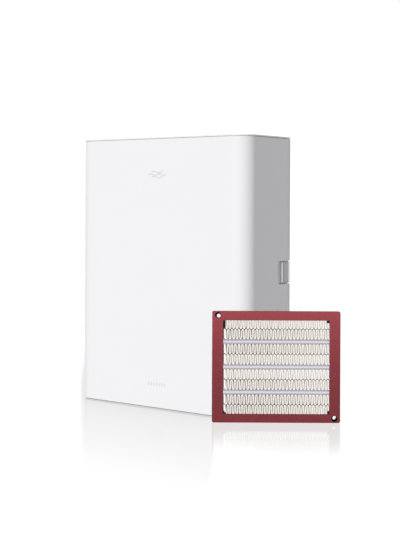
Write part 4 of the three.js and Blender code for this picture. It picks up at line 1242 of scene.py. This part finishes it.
def white_floor():
    """A white glossy floor: a clear reflection that fades with distance, and a painted soft shade in front.
    """
    size = 60
    mesh = bpy.data.meshes.new("floor")
    corners = [(-size, -size, 0), (size, -size, 0), (size, size, 0), (-size, size, 0)]
    mesh.from_pydata(corners, [], [(0, 1, 2, 3)])
    floor = new_object("floor", mesh)
    floor.location.z = -0.05 * MM
    material = bpy.data.materials.new("floor")
    graph = Graph(material)
    graph.nodes.clear()
    spot = graph.nodes.new("ShaderNodeNewGeometry").outputs
    position, towards_eye = spot["Position"], spot["Incoming"]
    from_front = seen_from_front(graph, towards_eye)
    glow = graph.add("Emission", {"Strength": floor_shade(graph, position, from_front)})
    gloss = graph.add("BsdfGlossy", {"Color": (*grey(FLOOR_GLOSS), 1), "Roughness": 0.1})
    far = graph.add("Emission", {"Strength": BACKDROP})
    bounce = graph.add("Emission", {"Strength": facing_room(graph, towards_eye, 1, FLOOR_BOUNCE)})
    path = graph.nodes.new("ShaderNodeLightPath").outputs
    near = graph.add("AddShader", {0: glow, 1: gloss})
    surface = graph.mix(floor_distance(graph, position, from_front), near, far)
    surface = graph.mix(path["Is Glossy Ray"], surface, far)
    graph.show("Material", graph.mix(path["Is Diffuse Ray"], surface, bounce))
    material.cycles.emission_sampling = "NONE"
    mesh.materials.append(material)


def facing_room(graph, direction, sign, strength):
    """A strength that is greater on the room's side and less on the wall's side."""
    towards_wall = graph.add("SeparateXYZ", {0: direction}, "Y")
    slope = graph.maths("MULTIPLY", towards_wall, sign * strength * ROOM_SIDE)
    return graph.maths("ADD", slope, strength)


def beside_corner(graph, position, corner, width):
    """0 to the left and 1 to the right of a corner's line of sight from the camera."""
    sight = (Vector((PHOTO_EYE.x, PHOTO_EYE.y, 0)) - corner).normalized()
    offset = graph.vector("SUBTRACT", position, (corner.x, corner.y, 0))
    across = graph.vector("DOT_PRODUCT", offset, (-sight.y, sight.x, 0), output="Value")
    return graph.step(across, -width, width)


def seen_from_front(graph, towards_eye):
    """1 near the camera's own direction and 0 from others, where the front's mirror image lies elsewhere."""
    facing = graph.vector("DOT_PRODUCT", towards_eye, -VIEW_FORWARD, output="Value")
    return graph.step(facing, 0.85, 0.94)


def floor_shade(graph, position, from_front):
    """The floor's glow with painted shade and a painted reflection: a little lower in front of the cabinet,
    where its front is mirrored.
    """
    left_corner = Vector((-HALF_WIDTH, FRONT + CORNER * 0.3, 0))
    cabinet_side = beside_corner(graph, position, left_corner, 4 * MM)
    wedge = graph.maths("SUBTRACT", cabinet_side, beside_corner(graph, position, MODULE_CORNER, 6 * MM))
    ahead = graph.maths("SUBTRACT", FRONT, graph.add("SeparateXYZ", {0: position}, "Y"))
    ahead = graph.maths("MAXIMUM", ahead, 0)
    total = 0.0
    for strength, reach in SHADES:
        fall = graph.maths("POWER", math.e, graph.maths("DIVIDE", ahead, -reach))
        total = graph.maths("ADD", graph.maths("MULTIPLY", fall, strength), total)
    dark = graph.maths("MULTIPLY", graph.maths("MULTIPLY", total, wedge), from_front)
    return graph.maths("MULTIPLY", graph.maths("SUBTRACT", 1, dark), FLOOR_GLOW)


def floor_distance(graph, position, from_front):
    """0 beside the object's footprint, rising to 1 over the length of the reflection."""
    middle, half = (CAD_LOW + CAD_HIGH) / 2, (CAD_HIGH - CAD_LOW) / 2
    offset = graph.vector("ABSOLUTE", graph.vector("SUBTRACT", position, (middle.x, middle.y, 0)))
    outside = graph.vector("MAXIMUM", graph.vector("SUBTRACT", offset, (half.x, half.y, 0)), (0, 0, 0))
    length = graph.vector("LENGTH", outside, output="Value")
    module_side = graph.maths("MULTIPLY", beside_corner(graph, position, MODULE_CORNER, 6 * MM), from_front)
    nearer = graph.maths("MULTIPLY", module_side, MODULE_FADE - FLOOR_FADE)
    return graph.step(length, 0, graph.maths("ADD", nearer, FLOOR_FADE), "SMOOTHERSTEP")


def white_world():
    """White to the camera and in reflections, and a dimmer, slightly blue ambient light on surfaces."""
    world = bpy.data.worlds.new("studio")
    scene.world = world
    graph = Graph(world)
    graph.nodes.clear()
    white = graph.add("Background", {"Color": (1, 1, 1, 1), "Strength": BACKDROP})
    strength = facing_room(graph, graph.add("TexCoord", output="Generated"), -1, AMBIENT)
    ambient = graph.add("Background", {"Color": (*AMBIENT_COLOUR, 1), "Strength": strength})
    graph.show("World", graph.mix(graph.add("LightPath", output="Is Diffuse Ray"), white, ambient))


def sun(name, strength, towards, softness):
    light = bpy.data.lights.new(name, "SUN")
    light.energy = strength
    light.angle = math.radians(softness)
    lamp = new_object(name, light)
    lamp.rotation_mode = "QUATERNION"
    lamp.rotation_quaternion = Vector(towards).to_track_quat("-Z", "Y")
    lamp.visible_glossy = False
    return lamp


def pass_module(lamp):
    """The heater module doesn't shade the cabinet behind it from this lamp."""
    blockers = bpy.data.collections.new("key_blockers")
    lamp.light_linking.blocker_collection = blockers
    for obj in MODULE_PIECES:
        blockers.objects.link(obj)
    for entry in blockers.collection_objects:
        entry.light_linking.link_state = "EXCLUDE"


VIEW_TURN = math.radians(37.83)
VIEW_FORWARD = Vector((-math.sin(VIEW_TURN), math.cos(VIEW_TURN), 0))
VIEW_RIGHT = Vector((math.cos(VIEW_TURN), math.sin(VIEW_TURN), 0))
UP = Vector((0, 0, 1))
VIEW_DISTANCE, VIEW_SHIFT, VIEW_HEIGHT = 2.471, 0.0938, 0.4547  # from the front right corner, on the floor
PHOTO_EYE = (
    Vector((HALF_WIDTH, FRONT, 0)) - VIEW_FORWARD * VIEW_DISTANCE - VIEW_RIGHT * VIEW_SHIFT + UP * VIEW_HEIGHT
)


def photo_camera():
    """The photo's view: about 38 degrees to the right, a little over mid height, with a long lens."""
    pitch, roll = math.radians(0.113), math.radians(0.271)
    data = bpy.data.cameras.new("camera")
    data.lens = 80.0
    data.sensor_width = 36.0
    data.shift_y = -0.1235
    data.clip_end = 200
    camera = new_object("camera", data)
    camera.location = PHOTO_EYE
    ahead = VIEW_FORWARD * math.cos(pitch) + UP * math.sin(pitch)
    above = -VIEW_FORWARD * math.sin(pitch) + UP * math.cos(pitch)
    x_axis = VIEW_RIGHT * math.cos(roll) + above * math.sin(roll)
    y_axis = -VIEW_RIGHT * math.sin(roll) + above * math.cos(roll)
    camera.rotation_mode = "QUATERNION"
    camera.rotation_quaternion = Matrix((x_axis, y_axis, -ahead)).transposed().to_quaternion()
    scene.camera = camera


BACKDROP = 1.06  # white, as seen straight on and in reflections
AMBIENT = 0.155
AMBIENT_COLOUR = (0.985, 0.96, 1.05)
ROOM_SIDE = 0.5  # how much brighter the room's side is than the wall's
FLOOR_GLOW = 0.74
FLOOR_GLOSS = 0.25
FLOOR_BOUNCE = 0.33
FLOOR_FADE, MODULE_FADE = 0.9, 0.3  # the length of the cabinet's reflection and of the module's
MODULE_CORNER = MODULE @ Vector((-FACE_HALF, 0, 0))
# SHADES: painted shade on the floor in front of the cabinet, each as a darkness and how far it reaches.
SHADES = ((0.13, 0.7), (0.1, 0.07))  # darkness on the floor at the front, and how far it reaches

scene.view_settings.view_transform = "Standard"
white_world()
white_floor()
pass_module(sun("front_key", 2.3, (-0.24, 1, -0.13), 12))
sun("rear_fill", 1.2, (0.1, -1, -0.4), 10)
photo_camera()
